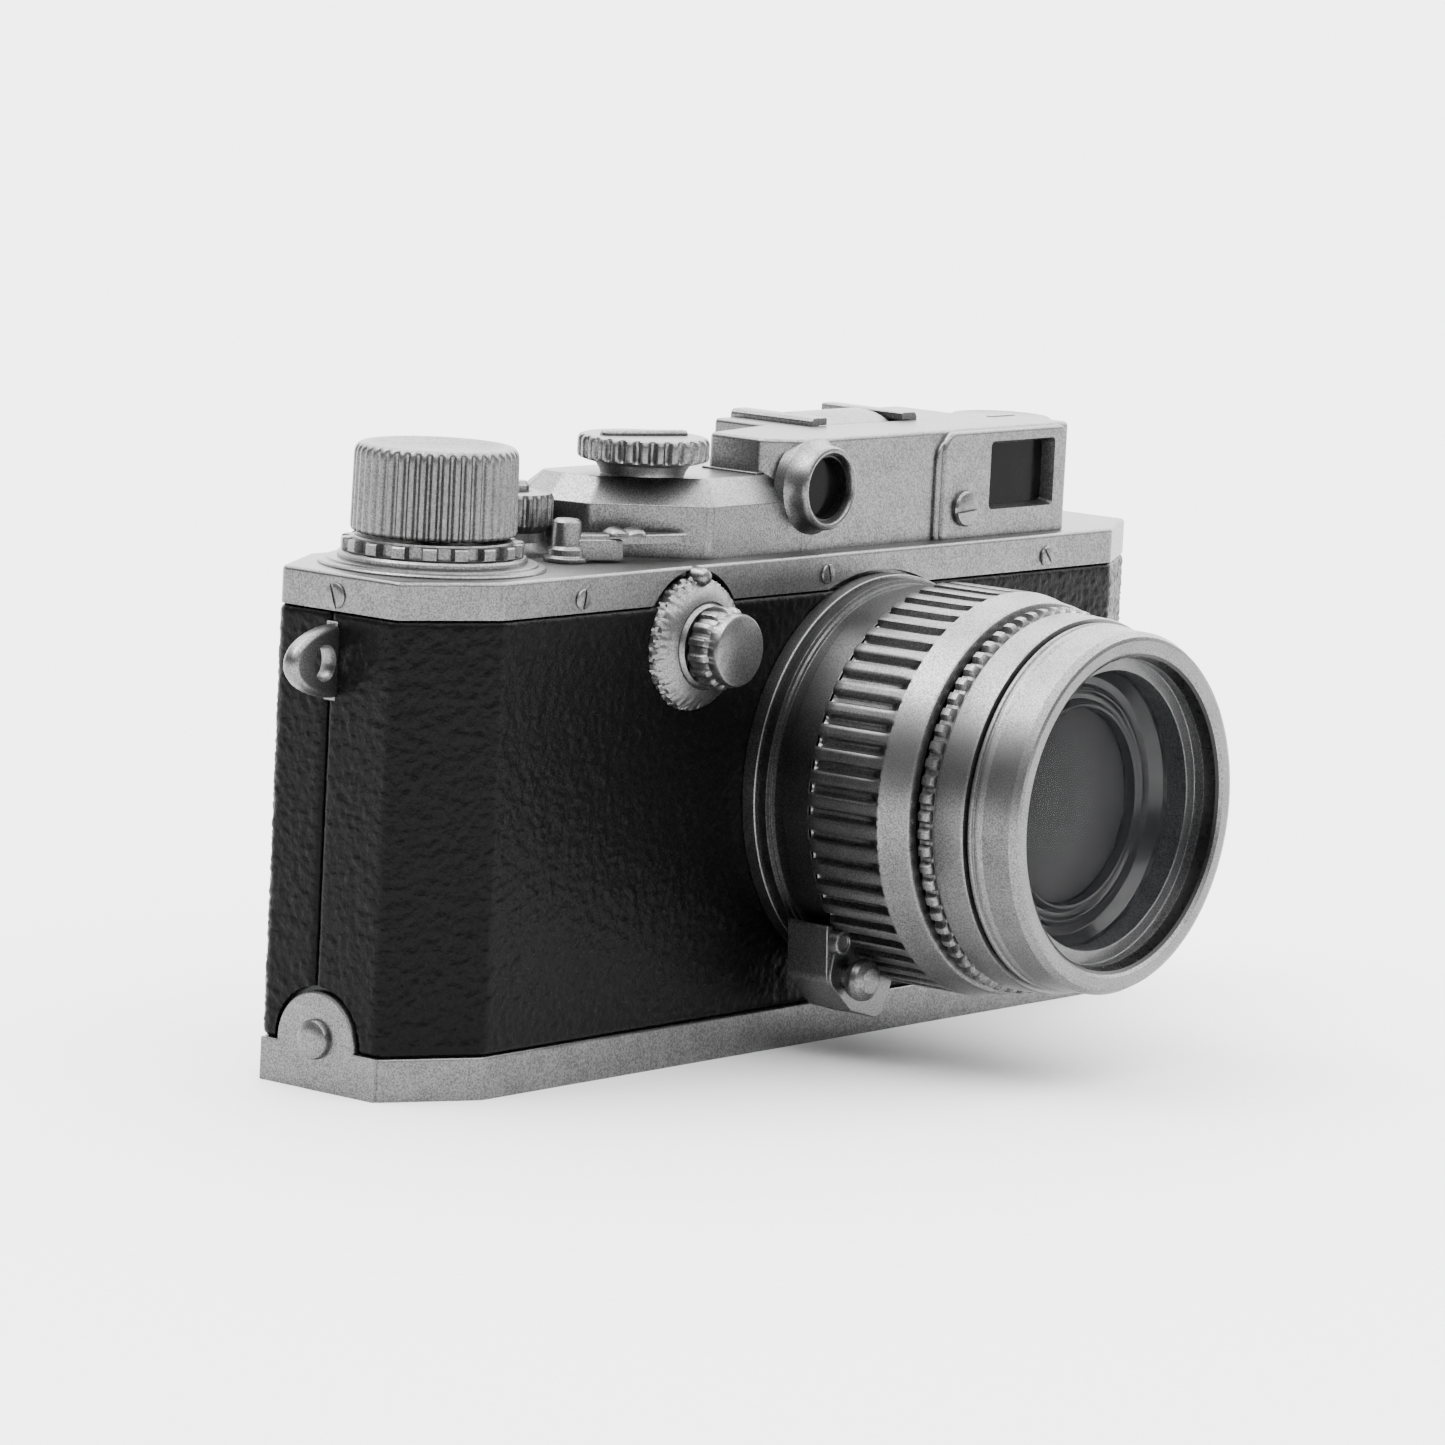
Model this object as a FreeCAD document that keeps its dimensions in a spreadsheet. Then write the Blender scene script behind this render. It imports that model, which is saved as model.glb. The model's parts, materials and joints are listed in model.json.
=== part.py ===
"""A 35 mm rangefinder film camera with a screw-mounted 50 mm lens, as separate pieces.

Millimetres. The origin is the centre of the base plate's underside, +X runs along the body towards
the rewind end, -Y towards the subject along the lens axis, and +Z up.
"""
import FreeCAD, Part
import math
import os

import Sketcher

doc = FreeCAD.newDocument("film_camera")
sheet = doc.addObject("Spreadsheet::Sheet", "Dims")
row = 0


class Size:
    """A length that knows its value and the expression that the document binds it to."""

    def __init__(self, value, text):
        self.value = value
        self.text = text

    def __add__(self, other):
        other = size_of(other)
        return Size(self.value + other.value, f"({self.text} + {other.text})")

    def __radd__(self, other):
        return size_of(other) + self

    def __sub__(self, other):
        other = size_of(other)
        return Size(self.value - other.value, f"({self.text} - {other.text})")

    def __rsub__(self, other):
        return size_of(other) - self

    def __mul__(self, other):
        other = size_of(other)
        return Size(self.value * other.value, f"({self.text} * {other.text})")

    def __rmul__(self, other):
        return size_of(other) * self

    def __truediv__(self, other):
        other = size_of(other)
        return Size(self.value / other.value, f"({self.text} / {other.text})")

    def __neg__(self):
        return Size(-self.value, f"(-1 * {self.text})")


def size_of(number):
    if isinstance(number, Size):
        return number
    return Size(float(number), f"({number:.6f})")


def distance(across, along):
    """The straight distance that two perpendicular offsets add up to."""
    return Size(math.hypot(across.value, along.value),
                f"sqrt({across.text} ^ 2 + {along.text} ^ 2)")


def dim(alias, value):
    """Enter a driving dimension in the sheet and return it as a Size."""
    global row
    row += 1
    sheet.set(f"A{row}", alias)
    sheet.set(f"B{row}", str(value))
    sheet.setAlias(f"B{row}", alias)
    return Size(float(value), f"Dims.{alias}")


# Body
body_length = dim("body_length", 137.0)
body_depth = dim("body_depth", 30.2)
end_cut_x = dim("end_cut_x", 11.1)
end_cut_y = dim("end_cut_y", 6.2)
cut_x_loss = dim("cut_x_loss_per_inset", 0.74)
cut_y_loss = dim("cut_y_loss_per_inset", 0.413)
base_height = dim("base_plate_height", 4.6)
base_floor = dim("base_plate_floor", 1.4)
cover_bottom = dim("cover_bottom_height", 54.9)
deck_height = dim("deck_height", 59.2)
skin = dim("leatherette_thickness", 0.7)
wall = dim("casting_wall", 1.2)
cover_wall = dim("cover_wall", 1.2)
casting_roof = dim("casting_roof_height", 52.9)
leather_low = dim("leatherette_bottom", 5.0)
leather_high = dim("leatherette_top", 53.6)
seam_y = dim("leatherette_seam_offset", 1.0)
seam_gap = dim("leatherette_seam_gap", 0.2)
# Housing on the deck
housing_front = dim("housing_front_setback", 3.0)
housing_top = dim("housing_top_height", 72.6)
housing_right = dim("housing_right_end", 51.3)
HOUSING_STEP = dim("housing_rear_left_end", 9.0)
housing_back = dim("housing_back", 10.5)
block_low = dim("block_bevel_start", 65.2)
block_high = dim("block_top_height", 68.3)
# Axes of the controls
wind_x = dim("wind_axis_x", -53.0)
sprocket_x = dim("release_axis_x", -34.5)
sprocket_y = dim("release_axis_y", 4.0)
shutter_x = dim("speed_dial_axis_x", -19.5)
shutter_y = dim("speed_dial_axis_y", -2.5)
rewind_x = dim("rewind_axis_x", 53.0)
slow_x = dim("slow_dial_axis_x", -24.0)
slow_z = dim("slow_dial_axis_z", 50.1)
lever_x = dim("lever_axis_x", -35.5)
lever_y = dim("lever_axis_y", -5.0)
latch_x = dim("latch_axis_x", 45.0)
tripod_x = dim("tripod_axis_x", -49.0)
# Lens
lens_x = dim("lens_axis_x", 10.6)
lens_z = dim("lens_axis_z", 32.2)
flange_face = dim("mount_face_from_centre", 17.1)
gate_width = dim("film_gate_width", 36.0)
gate_height = dim("film_gate_height", 24.0)
film_plane = dim("film_plane_y", 11.7)
# Windows, eyepiece and accessory shoe
PANEL_LEFT = dim("finder_panel_left", 24.0)
PANEL_RIGHT = dim("finder_panel_right", 49.3)
PANEL_THICK = dim("finder_panel_thickness", 0.8)
WINDOW_LEFT = dim("finder_window_left", 34.8)
WINDOW_RIGHT = dim("finder_window_right", 47.0)
WINDOW_LOW = dim("finder_window_bottom", 62.9)
WINDOW_HIGH = dim("finder_window_top", 70.5)
RANGE_X = dim("range_window_x", 1.0)
RANGE_Z = dim("range_window_z", 66.9)
RANGE_RIM = dim("range_window_rim_radius", 5.2)
RANGE_BORE = dim("range_window_bore_radius", 3.75)
EYE_X = dim("eyepiece_x", 38.0)
EYE_Z = dim("eyepiece_z", 65.6)
SHOE_X = dim("shoe_centre_x", 22.6)
SHOE_SLOT = dim("shoe_slot_width", 18.7)
SHOE_FRONT = dim("shoe_front_y", -2.3)
SHOE_FLOOR = dim("shoe_floor_height", 70.3)
KNOB_NOTCH = dim("rewind_notch_half_width", 8.0)
# Strap lugs and the end tab
LUG_Y = dim("strap_lug_y", 0.7)
LUG_Z = dim("strap_lug_height", 49.2)
LUG_REACH = dim("strap_lug_reach", 7.2)
LUG_THICK = dim("strap_lug_thickness", 2.2)
LUG_HOLE = dim("strap_lug_hole_radius", 2.1)
TAB_Y = dim("end_tab_y", 0.4)
TAB_Z = dim("end_tab_z", 5.4)
TAB_RADIUS = dim("end_tab_radius", 6.2)
TAB_PROUD = dim("end_tab_proud", 0.35)
# Dials, winding and shutter
SLOW_SEAT = dim("slow_dial_seat_radius", 8.0)
SLOW_STEM = dim("slow_dial_stem_radius", 1.2)
GEAR_LOW = dim("gear_bottom_height", 55.2)
GEAR_THICK = dim("gear_thickness", 2.0)
DRUM_RADIUS = dim("shutter_drum_radius", 7.0)
SHUTTER_SHAFT = dim("shutter_shaft_radius", 1.5)
ROLLER_RADIUS = dim("curtain_roller_radius", 2.8)
ROLLER_PIN = dim("curtain_roller_pin_radius", 0.8)
ROLLER_X = dim("curtain_roller_x", 35.2)
WIND_SHAFT = dim("wind_shaft_radius", 2.0)
SPROCKET_PIN = dim("sprocket_pin_radius", 1.5)
FRAME_LOW = dim("shutter_frame_bottom", 7.2)
FRAME_HIGH = dim("shutter_frame_top", 52.9)
FLANGE_FRONT = dim("shutter_flange_front_y", -11.2)
# Lens mount, barrels and rangefinder arm
THROAT = dim("mount_throat_radius", 19.8)
MOUNT_RADIUS = dim("mount_ring_radius", 24.6)
SCREW_CIRCLE = dim("mount_screw_circle_radius", 22.3)
COLLAR_SLEEVE = dim("lens_sleeve_radius", 21.9)
BARREL_RADIUS = dim("inner_barrel_radius", 20.3)
FOCUS_BACK = dim("focusing_ring_back", 24.9)
FOCUS_FRONT = dim("focusing_ring_front", 39.6)
IRIS_BACK = dim("aperture_ring_back", 39.9)
IRIS_FRONT = dim("aperture_ring_front", 46.6)
RIM_FRONT = dim("front_rim", 53.6)
FILTER_RADIUS = dim("filter_thread_radius", 18.7)
LOCK_ACROSS = dim("lock_button_across", -15.9)
LOCK_UP = dim("lock_button_up", -21.8)
ARM_X = dim("range_arm_axis_x", -6.0)
ARM_Y = dim("range_arm_axis_y", -9.3)
ARM_PIN = dim("range_arm_pin_radius", 0.8)
# Fits
running = dim("running_clearance", 0.06)
free_gap = dim("free_gap", 0.3)

# Counts, and the rest angle of the lever in degrees
WIND_TEETH = 24
SPROCKET_TEETH = 20
MOUNT_SCREWS = 4
BLADES = 10
LEVER_ANGLE = -25.5

half_length = body_length / 2
half_depth = body_depth / 2
UP = FreeCAD.Rotation()
FORWARD = FreeCAD.Rotation(FreeCAD.Vector(1, 0, 0), 90)
SUBPARTS = []


def bind(thing, prop, size):
    """Bind a property to the expression of a Size."""
    thing.setExpression(prop, size_of(size).text)


def place(thing, at, turn=UP):
    """Put a piece at a bound position; turn is its fixed rotation."""
    x, y, z = (size_of(v) for v in at)
    thing.Placement = FreeCAD.Placement(FreeCAD.Vector(x.value, y.value, z.value), turn)
    for name, value in zip("xyz", (x, y, z)):
        bind(thing, f"Placement.Base.{name}", value)
    return thing


def keep(thing, label):
    """Name a finished piece and list it for export."""
    thing.Label = label
    SUBPARTS.append(thing)
    return thing


def new_body(label, at=(0, 0, 0), turn=UP):
    body = doc.addObject("PartDesign::Body", label)
    place(body, at, turn)
    return keep(body, label)


def new_sketch(body, plane="XY_Plane", lift=0):
    """A sketch on one of the body's own origin planes, lifted along the plane's normal."""
    sketch = body.newObject("Sketcher::SketchObject", f"{body.Name}_sketch")
    support = next(item for item in body.Origin.OriginFeatures if item.Role == plane)
    sketch.AttachmentSupport = [(support, "")]
    sketch.MapMode = "FlatFace"
    lift = size_of(lift)
    sketch.AttachmentOffset = FreeCAD.Placement(FreeCAD.Vector(0, 0, lift.value), UP)
    bind(sketch, "AttachmentOffset.Base.z", lift)
    return sketch


def pin_point(sketch, geometry, point, x, y):
    """Fix one point of a sketch at bound coordinates."""
    for kind, axis, value in (("DistanceX", -2, x), ("DistanceY", -1, y)):
        if not isinstance(value, Size) and value == 0:
            sketch.addConstraint(Sketcher.Constraint("PointOnObject", geometry, point, axis))
            continue
        value = size_of(value)
        index = sketch.addConstraint(
            Sketcher.Constraint(kind, -1, 1, geometry, point, value.value))
        bind(sketch, f"Constraints[{index}]", value)


def polygon(sketch, points):
    """A closed outline of straight edges through bound corners."""
    first = sketch.GeometryCount
    count = len(points)
    corners = [FreeCAD.Vector(size_of(x).value, size_of(y).value, 0) for x, y in points]
    for i in range(count):
        sketch.addGeometry(Part.LineSegment(corners[i], corners[(i + 1) % count]), False)
    for i in range(count):
        following = first + (i + 1) % count
        sketch.addConstraint(Sketcher.Constraint("Coincident", first + i, 2, following, 1))
    for i, (x, y) in enumerate(points):
        pin_point(sketch, first + i, 1, x, y)
    return sketch


def rectangle(sketch, x0, y0, x1, y1):
    return polygon(sketch, [(x0, y0), (x1, y0), (x1, y1), (x0, y1)])


def circle(sketch, x, y, radius):
    radius = size_of(radius)
    centre = FreeCAD.Vector(size_of(x).value, size_of(y).value, 0)
    index = sketch.addGeometry(Part.Circle(centre, FreeCAD.Vector(0, 0, 1), radius.value), False)
    pin_point(sketch, index, 3, x, y)
    tied = sketch.addConstraint(Sketcher.Constraint("Radius", index, radius.value))
    bind(sketch, f"Constraints[{tied}]", radius)
    return sketch


def pad(body, sketch, length, backward=False):
    """Extrude a sketch along its normal, or against it."""
    feature = body.newObject("PartDesign::Pad", f"{body.Name}_pad")
    feature.Profile = sketch
    bind(feature, "Length", length)
    feature.Reversed = backward
    doc.recompute()
    return feature


def pocket(body, sketch, depth, forward=False):
    """Cut a sketch against its normal, or along it, and make sure that it cuts something."""
    before = body.Shape.Volume
    feature = body.newObject("PartDesign::Pocket", f"{body.Name}_pocket")
    feature.Profile = sketch
    bind(feature, "Length", depth)
    feature.Reversed = forward
    doc.recompute()
    if feature.Shape.Volume > before - 0.001:
        raise RuntimeError(f"{body.Label}: a pocket cut nothing")
    return feature


def revolve(body, sketch):
    feature = body.newObject("PartDesign::Revolution", f"{body.Name}_turning")
    feature.Profile = sketch
    feature.ReferenceAxis = (sketch, ["V_Axis"])
    feature.Angle = 360
    doc.recompute()
    return feature


def around(body, feature, count):
    """Repeat a feature evenly about the body's own Z axis."""
    pattern = body.newObject("PartDesign::PolarPattern", f"{body.Name}_pattern")
    pattern.Originals = [feature]
    axis = next(item for item in body.Origin.OriginFeatures if item.Role == "Z_Axis")
    pattern.Axis = (axis, [""])
    pattern.Angle = 360
    pattern.Occurrences = count
    body.Tip = pattern
    doc.recompute()
    return pattern


def turned(label, profile, at=(0, 0, 0), turn=UP):
    """A turned piece: profile is (radius, height) corners, height along its own axis."""
    body = new_body(label, at, turn)
    revolve(body, polygon(new_sketch(body, "XZ_Plane"), profile))
    return body


def octagon(inset=0):
    """The body's outline, long and low with cut corners, moved inwards by inset."""
    long_half = half_length - inset
    deep_half = half_depth - inset
    cut_x = end_cut_x - cut_x_loss * inset
    cut_y = end_cut_y - cut_y_loss * inset
    return [(long_half, -deep_half + cut_y), (long_half, deep_half - cut_y),
            (long_half - cut_x, deep_half), (-long_half + cut_x, deep_half),
            (-long_half, deep_half - cut_y), (-long_half, -deep_half + cut_y),
            (-long_half + cut_x, -deep_half), (long_half - cut_x, -deep_half)]


def cylinder(name, at, radius, height, turn=UP):
    thing = doc.addObject("Part::Cylinder", name)
    bind(thing, "Radius", radius)
    bind(thing, "Height", height)
    return place(thing, at, turn)


def box(name, at, length, width, height, turn=UP):
    thing = doc.addObject("Part::Box", name)
    bind(thing, "Length", length)
    bind(thing, "Width", width)
    bind(thing, "Height", height)
    return place(thing, at, turn)


def fuse(label, pieces):
    thing = doc.addObject("Part::MultiFuse", label)
    thing.Shapes = pieces
    thing.Refine = True
    return thing


def cut(label, base, tool):
    thing = doc.addObject("Part::Cut", label)
    thing.Base = base
    thing.Tool = tool
    return thing


def group(label, pieces):
    """Separate solids that share one node."""
    thing = doc.addObject("Part::Compound", label)
    thing.Links = pieces
    return keep(thing, label)


def slotted_screw(name, at, radius, height, turn):
    """A cheese-head screw lying on a face: its own Z axis points out of the head."""
    head = cylinder(f"{name}_head", (0, 0, 0), radius, height)
    slot = box(f"{name}_slot", (-radius * 1.2, -radius * 0.14, height * 0.6),
               radius * 2.4, radius * 0.28, height)
    screw = cut(name, head, slot)
    return place(screw, at, turn)


# ---------------------------------------------------------------- body and skins
CASTING_INSET = skin + wall


def make_casting():
    """Octagonal body shell, open below, with a roof and the lens throat."""
    body = new_body("body_casting")
    pad(body, polygon(new_sketch(body, lift=base_height), octagon(skin)), cover_bottom - base_height)
    pocket(body, polygon(new_sketch(body, lift=base_height), octagon(CASTING_INSET)),
           casting_roof - base_height, forward=True)
    throat = new_sketch(body, "XZ_Plane", half_depth)
    pocket(body, circle(throat, lens_x, lens_z, THROAT), wall + skin + 1)
    shafts = new_sketch(body, lift=cover_bottom + 1)
    circle(shafts, wind_x, 0, WIND_SHAFT + running)
    circle(shafts, sprocket_x, sprocket_y, SPROCKET_PIN + running)
    circle(shafts, shutter_x, shutter_y, SHUTTER_SHAFT + running)
    circle(shafts, rewind_x, 0, WIND_SHAFT + running)
    pocket(body, shafts, cover_bottom - casting_roof + 2)
    dial_hole = new_sketch(body, "XZ_Plane", half_depth)
    pocket(body, circle(dial_hole, slow_x, slow_z, SLOW_STEM + running), wall + skin + 0.5)


def make_leatherettes():
    """Front and rear coverings that meet at a seam on each end face."""
    for label, front in (("front_leatherette", True), ("rear_leatherette", False)):
        body = new_body(label)
        pad(body, polygon(new_sketch(body, lift=leather_low), octagon()), leather_high - leather_low)
        pocket(body, polygon(new_sketch(body, lift=leather_low), octagon(skin)),
               leather_high - leather_low, forward=True)
        other = new_sketch(body, lift=leather_low)
        near, far = (seam_y, half_depth + 1) if front else (-half_depth - 1, seam_y + seam_gap)
        rectangle(other, -half_length - 1, near, half_length + 1, far)
        pocket(body, other, leather_high - leather_low, forward=True)
        if front:
            holes = new_sketch(body, "XZ_Plane", half_depth + 1)
            circle(holes, lens_x, lens_z, MOUNT_RADIUS + 0.3)
            pocket(body, holes, skin + 2)
            dial = new_sketch(body, "XZ_Plane", half_depth + 1)
            pocket(body, circle(dial, slow_x, slow_z, SLOW_SEAT + 0.6), skin + 2)
        tab = new_sketch(body, "YZ_Plane", -half_length - 1)
        pocket(body, circle(tab, TAB_Y, TAB_Z, TAB_RADIUS + 0.8), skin + 2, forward=True)
        lugs = new_sketch(body, "YZ_Plane", -half_length - 1)
        rectangle(lugs, LUG_Y - 1.3, LUG_Z - 4.3, LUG_Y + 1.3, LUG_Z + 4.3)
        pocket(body, lugs, body_length + 2, forward=True)


def make_strap_lugs():
    """Flat D-shaped eyelets standing out from both end faces."""
    for label, side in (("strap_lug_left", -1), ("strap_lug_right", 1)):
        body = new_body(label, (half_length * side, LUG_Y, LUG_Z))
        sketch = new_sketch(body, "XZ_Plane", -LUG_THICK / 2)
        root = -skin * side
        polygon(sketch, [(root, -4.2), (LUG_REACH * 0.4 * side, -4.0),
                         (LUG_REACH * 0.8 * side, -2.7), (LUG_REACH * side, -0.9),
                         (LUG_REACH * side, 0.9), (LUG_REACH * 0.8 * side, 2.7),
                         (LUG_REACH * 0.4 * side, 4.0), (root, 4.2)])
        pad(body, sketch, LUG_THICK)
        hole = new_sketch(body, "XZ_Plane", LUG_THICK)
        pocket(body, circle(hole, LUG_REACH * 0.5 * side, 0, LUG_HOLE), LUG_THICK * 2)


# ---------------------------------------------------------------- top cover

front_y = -half_depth + housing_front


def block_outline(inset):
    """The low shoulder that carries the speed dial; inset pulls its free sides inwards."""
    right = HOUSING_STEP + 0.5
    return [(right, front_y + inset), (-19.0, front_y + inset),
            (-19.9 + inset, front_y + 0.6 + inset),
            (-28.6 + inset, -2.2 + inset * 0.4), (-29.6 + inset, 3.0),
            (-29.6 + inset, 8.6 - inset * 0.5), (-28.0 + inset, housing_back - inset),
            (right, housing_back - inset)]


def housing_outline():
    """The tall finder housing, with a chamfered front-left corner and room for the rewind knob."""
    notch = rewind_x - KNOB_NOTCH
    return [(-1.0, front_y), (-5.2, -8.6), (-5.2, -0.8), (HOUSING_STEP, 2.2),
            (HOUSING_STEP, housing_back), (notch, housing_back), (notch, -7.4),
            (housing_right, -7.4), (housing_right, front_y)]


def make_top_cover():
    """One thin cover: the deck with its band, the shoulder block and the finder housing."""
    body = new_body("top_cover")
    pad(body, polygon(new_sketch(body, lift=cover_bottom), octagon()), deck_height - cover_bottom)
    pad(body, polygon(new_sketch(body, lift=deck_height), block_outline(0)), block_low - deck_height)
    bevel = body.newObject("PartDesign::AdditiveLoft", "block_bevel")
    lower = polygon(new_sketch(body, lift=block_low), block_outline(0))
    upper = polygon(new_sketch(body, lift=block_high), block_outline(2.9))
    bevel.Profile = lower
    bevel.Sections = [upper]
    bevel.Ruled = True
    doc.recompute()
    pad(body, polygon(new_sketch(body, lift=deck_height), housing_outline()),
        housing_top - deck_height)
    panel = new_sketch(body, "XZ_Plane", -front_y - 1)
    rectangle(panel, PANEL_LEFT, deck_height + 0.3, PANEL_RIGHT, housing_top - 0.7)
    pad(body, panel, PANEL_THICK + 1)
    rim = new_sketch(body, "XZ_Plane", -front_y - 1)
    pad(body, circle(rim, RANGE_X, RANGE_Z, RANGE_RIM), 3.5)
    seats = new_sketch(body, lift=deck_height)
    circle(seats, wind_x, 0, 12.9)
    pad(body, seats, 0.6)
    rewind_seat = new_sketch(body, lift=deck_height)
    pad(body, circle(rewind_seat, rewind_x, 0, 7.6), 1.0)
    hollow_top_cover(body)
    drill_top_cover(body)
    return body


def hollow_top_cover(body):
    """The space under the deck, the block and the housing."""
    under = new_sketch(body, lift=cover_bottom)
    pocket(body, polygon(under, octagon(cover_wall)), deck_height - cover_bottom - cover_wall,
           forward=True)
    start = cover_bottom + 1
    block = new_sketch(body, lift=start)
    rectangle(block, -26.6, -3.4, 1.0, housing_back - 1.5)
    pocket(body, block, block_low - start - 0.8, forward=True)
    shaft_room = new_sketch(body, lift=start)
    pocket(body, rectangle(shaft_room, -19.0, front_y + 1.2, 0, -3.0), block_low - start - 0.8,
           forward=True)
    left = new_sketch(body, lift=start)
    pocket(body, rectangle(left, -3.8, -8.0, 11.4, -1.6), 71.2 - start, forward=True)
    middle = new_sketch(body, lift=start)
    pocket(body, rectangle(middle, HOUSING_STEP + 1.4, front_y + 1.4, 34.0, housing_back - 1.4),
           SHOE_FLOOR - 1.2 - start, forward=True)
    right = new_sketch(body, lift=start)
    pocket(body, rectangle(right, 33.6, front_y + 1.4, rewind_x - KNOB_NOTCH - 1.4,
                           housing_back - 1.4), 71.2 - start, forward=True)


def drill_top_cover(body):
    """Windows, shaft holes, the shoe's bed and the notches over the lens mount and the slow dial."""
    bore = new_sketch(body, "XZ_Plane", half_depth + 2)
    pocket(body, circle(bore, RANGE_X, RANGE_Z, RANGE_BORE), 9)
    window = new_sketch(body, "XZ_Plane", half_depth)
    pocket(body, rectangle(window, WINDOW_LEFT, WINDOW_LOW, WINDOW_RIGHT, WINDOW_HIGH),
           housing_front + 1.9)
    eye = new_sketch(body, "XZ_Plane", -housing_back - 2)
    pocket(body, circle(eye, EYE_X, EYE_Z, 3.2), 6, forward=True)
    shafts = new_sketch(body, lift=housing_top)
    circle(shafts, wind_x, 0, 2.6)
    circle(shafts, sprocket_x, sprocket_y, 2.4)
    circle(shafts, shutter_x, shutter_y, 2.4)
    circle(shafts, rewind_x, 0, 2.6)
    circle(shafts, lever_x, lever_y, 1.0 + running)
    pocket(body, shafts, housing_top - deck_height + 3)
    bed = new_sketch(body, lift=housing_top + 1)
    rectangle(bed, SHOE_X - SHOE_SLOT / 2 - 1.1, SHOE_FRONT, SHOE_X + SHOE_SLOT / 2 + 1.1,
              housing_back + 1)
    pocket(body, bed, housing_top + 1 - SHOE_FLOOR)
    notches = new_sketch(body, "XZ_Plane", half_depth + 1)
    pocket(body, circle(notches, slow_x, slow_z, SLOW_SEAT + 0.6), cover_wall + 1.1)
    arc = new_sketch(body, "XZ_Plane", half_depth + 1)
    pocket(body, circle(arc, lens_x, lens_z, 24.9), 1.35)


def make_finder_pieces():
    """Glasses, eyepiece, accessory shoe and the small screws on the cover."""
    disc = [(0, 0), (RANGE_BORE - 0.05, 0), (RANGE_BORE - 0.05, 1.2), (0, 1.2)]
    turned("rangefinder_window", disc, (RANGE_X, front_y + 0.6, RANGE_Z), FORWARD)
    pane = box("viewfinder_window", (WINDOW_LEFT + 0.05, front_y + 0.9, WINDOW_LOW + 0.05),
               WINDOW_RIGHT - WINDOW_LEFT - 0.1, 0.9, WINDOW_HIGH - WINDOW_LOW - 0.1)
    keep(pane, "viewfinder_window")
    prism = box("finder_prism", (WINDOW_LEFT + 2.2, -4.6, WINDOW_LOW + 0.6), 6.4, 7.0, 6.0)
    keep(prism, "finder_prism")
    range_prism = box("rangefinder_prism", (RANGE_X - 3.0, -7.4, RANGE_Z - 3.0), 5.4, 5.2, 6.0)
    keep(range_prism, "rangefinder_prism")
    carrier = box("carrier_plate", (RANGE_X - 4.2, -7.6, cover_bottom), 36.0, 13.0, 2.0)
    posts = [box("carrier_post_left", (RANGE_X - 3.0, -7.4, cover_bottom + 2), 5.4, 5.2, 7.0),
             box("carrier_post_right", (28.0, -4.0, cover_bottom + 2), 4.0, 6.0, 6.0)]
    keep(fuse("rangefinder_carrier_body", [carrier] + posts), "rangefinder_carrier")
    turned("eyepiece_ring",
           [(3.25, -1.6), (5.0, -1.6), (5.0, -0.6), (4.4, 0), (3.25, 0)],
           (EYE_X, housing_back, EYE_Z), FORWARD)
    turned("eyepiece_glass", [(0, -1.0), (3.15, -1.0), (3.15, 0.4), (0, 0.4)],
           (EYE_X, housing_back, EYE_Z), FORWARD)
    make_shoe()
    front = [slotted_screw("cover_screw_a", (-43.9, -half_depth, 56.5), 1.35, 0.35, FORWARD),
             slotted_screw("cover_screw_b", (0.6, -half_depth, 57.3), 1.35, 0.35, FORWARD),
             slotted_screw("cover_screw_c", (43.8, -half_depth, 56.9), 1.35, 0.35, FORWARD)]
    to_back = FreeCAD.Rotation(FreeCAD.Vector(1, 0, 0), -90)
    front += [slotted_screw(f"cover_screw_back_{i}", (x, half_depth, 57.0), 1.35, 0.35, to_back)
              for i, x in enumerate((-43.9, 0.6, 43.8))]
    for name, side in (("left", -1), ("right", 1)):
        outward = FreeCAD.Rotation(FreeCAD.Vector(0, 1, 0), 90 * side)
        front.append(slotted_screw(f"cover_screw_{name}", (half_length * side, 0.5, 56.6),
                                   1.5, 0.4, outward))
    front.append(slotted_screw("panel_screw", (29.4, front_y - PANEL_THICK, 63.4), 1.9, 0.5,
                               FORWARD))
    group("cover_screws", front)


def make_shoe():
    """A folded accessory shoe: a floor and two lips that hold a flash foot."""
    body = new_body("accessory_shoe", (SHOE_X, 0, SHOE_FLOOR))
    half = SHOE_SLOT / 2
    sketch = new_sketch(body, "XZ_Plane", -housing_back)
    polygon(sketch, [(-half - 1, 0), (half + 1, 0), (half + 1, 3.3), (half - 3.1, 3.3),
                     (half - 3.1, 2.7), (half, 2.7), (half, 0.6), (-half, 0.6),
                     (-half, 2.7), (-half + 3.1, 2.7), (-half + 3.1, 3.3), (-half - 1, 3.3)])
    pad(body, sketch, housing_back - SHOE_FRONT - 0.1)


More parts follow.
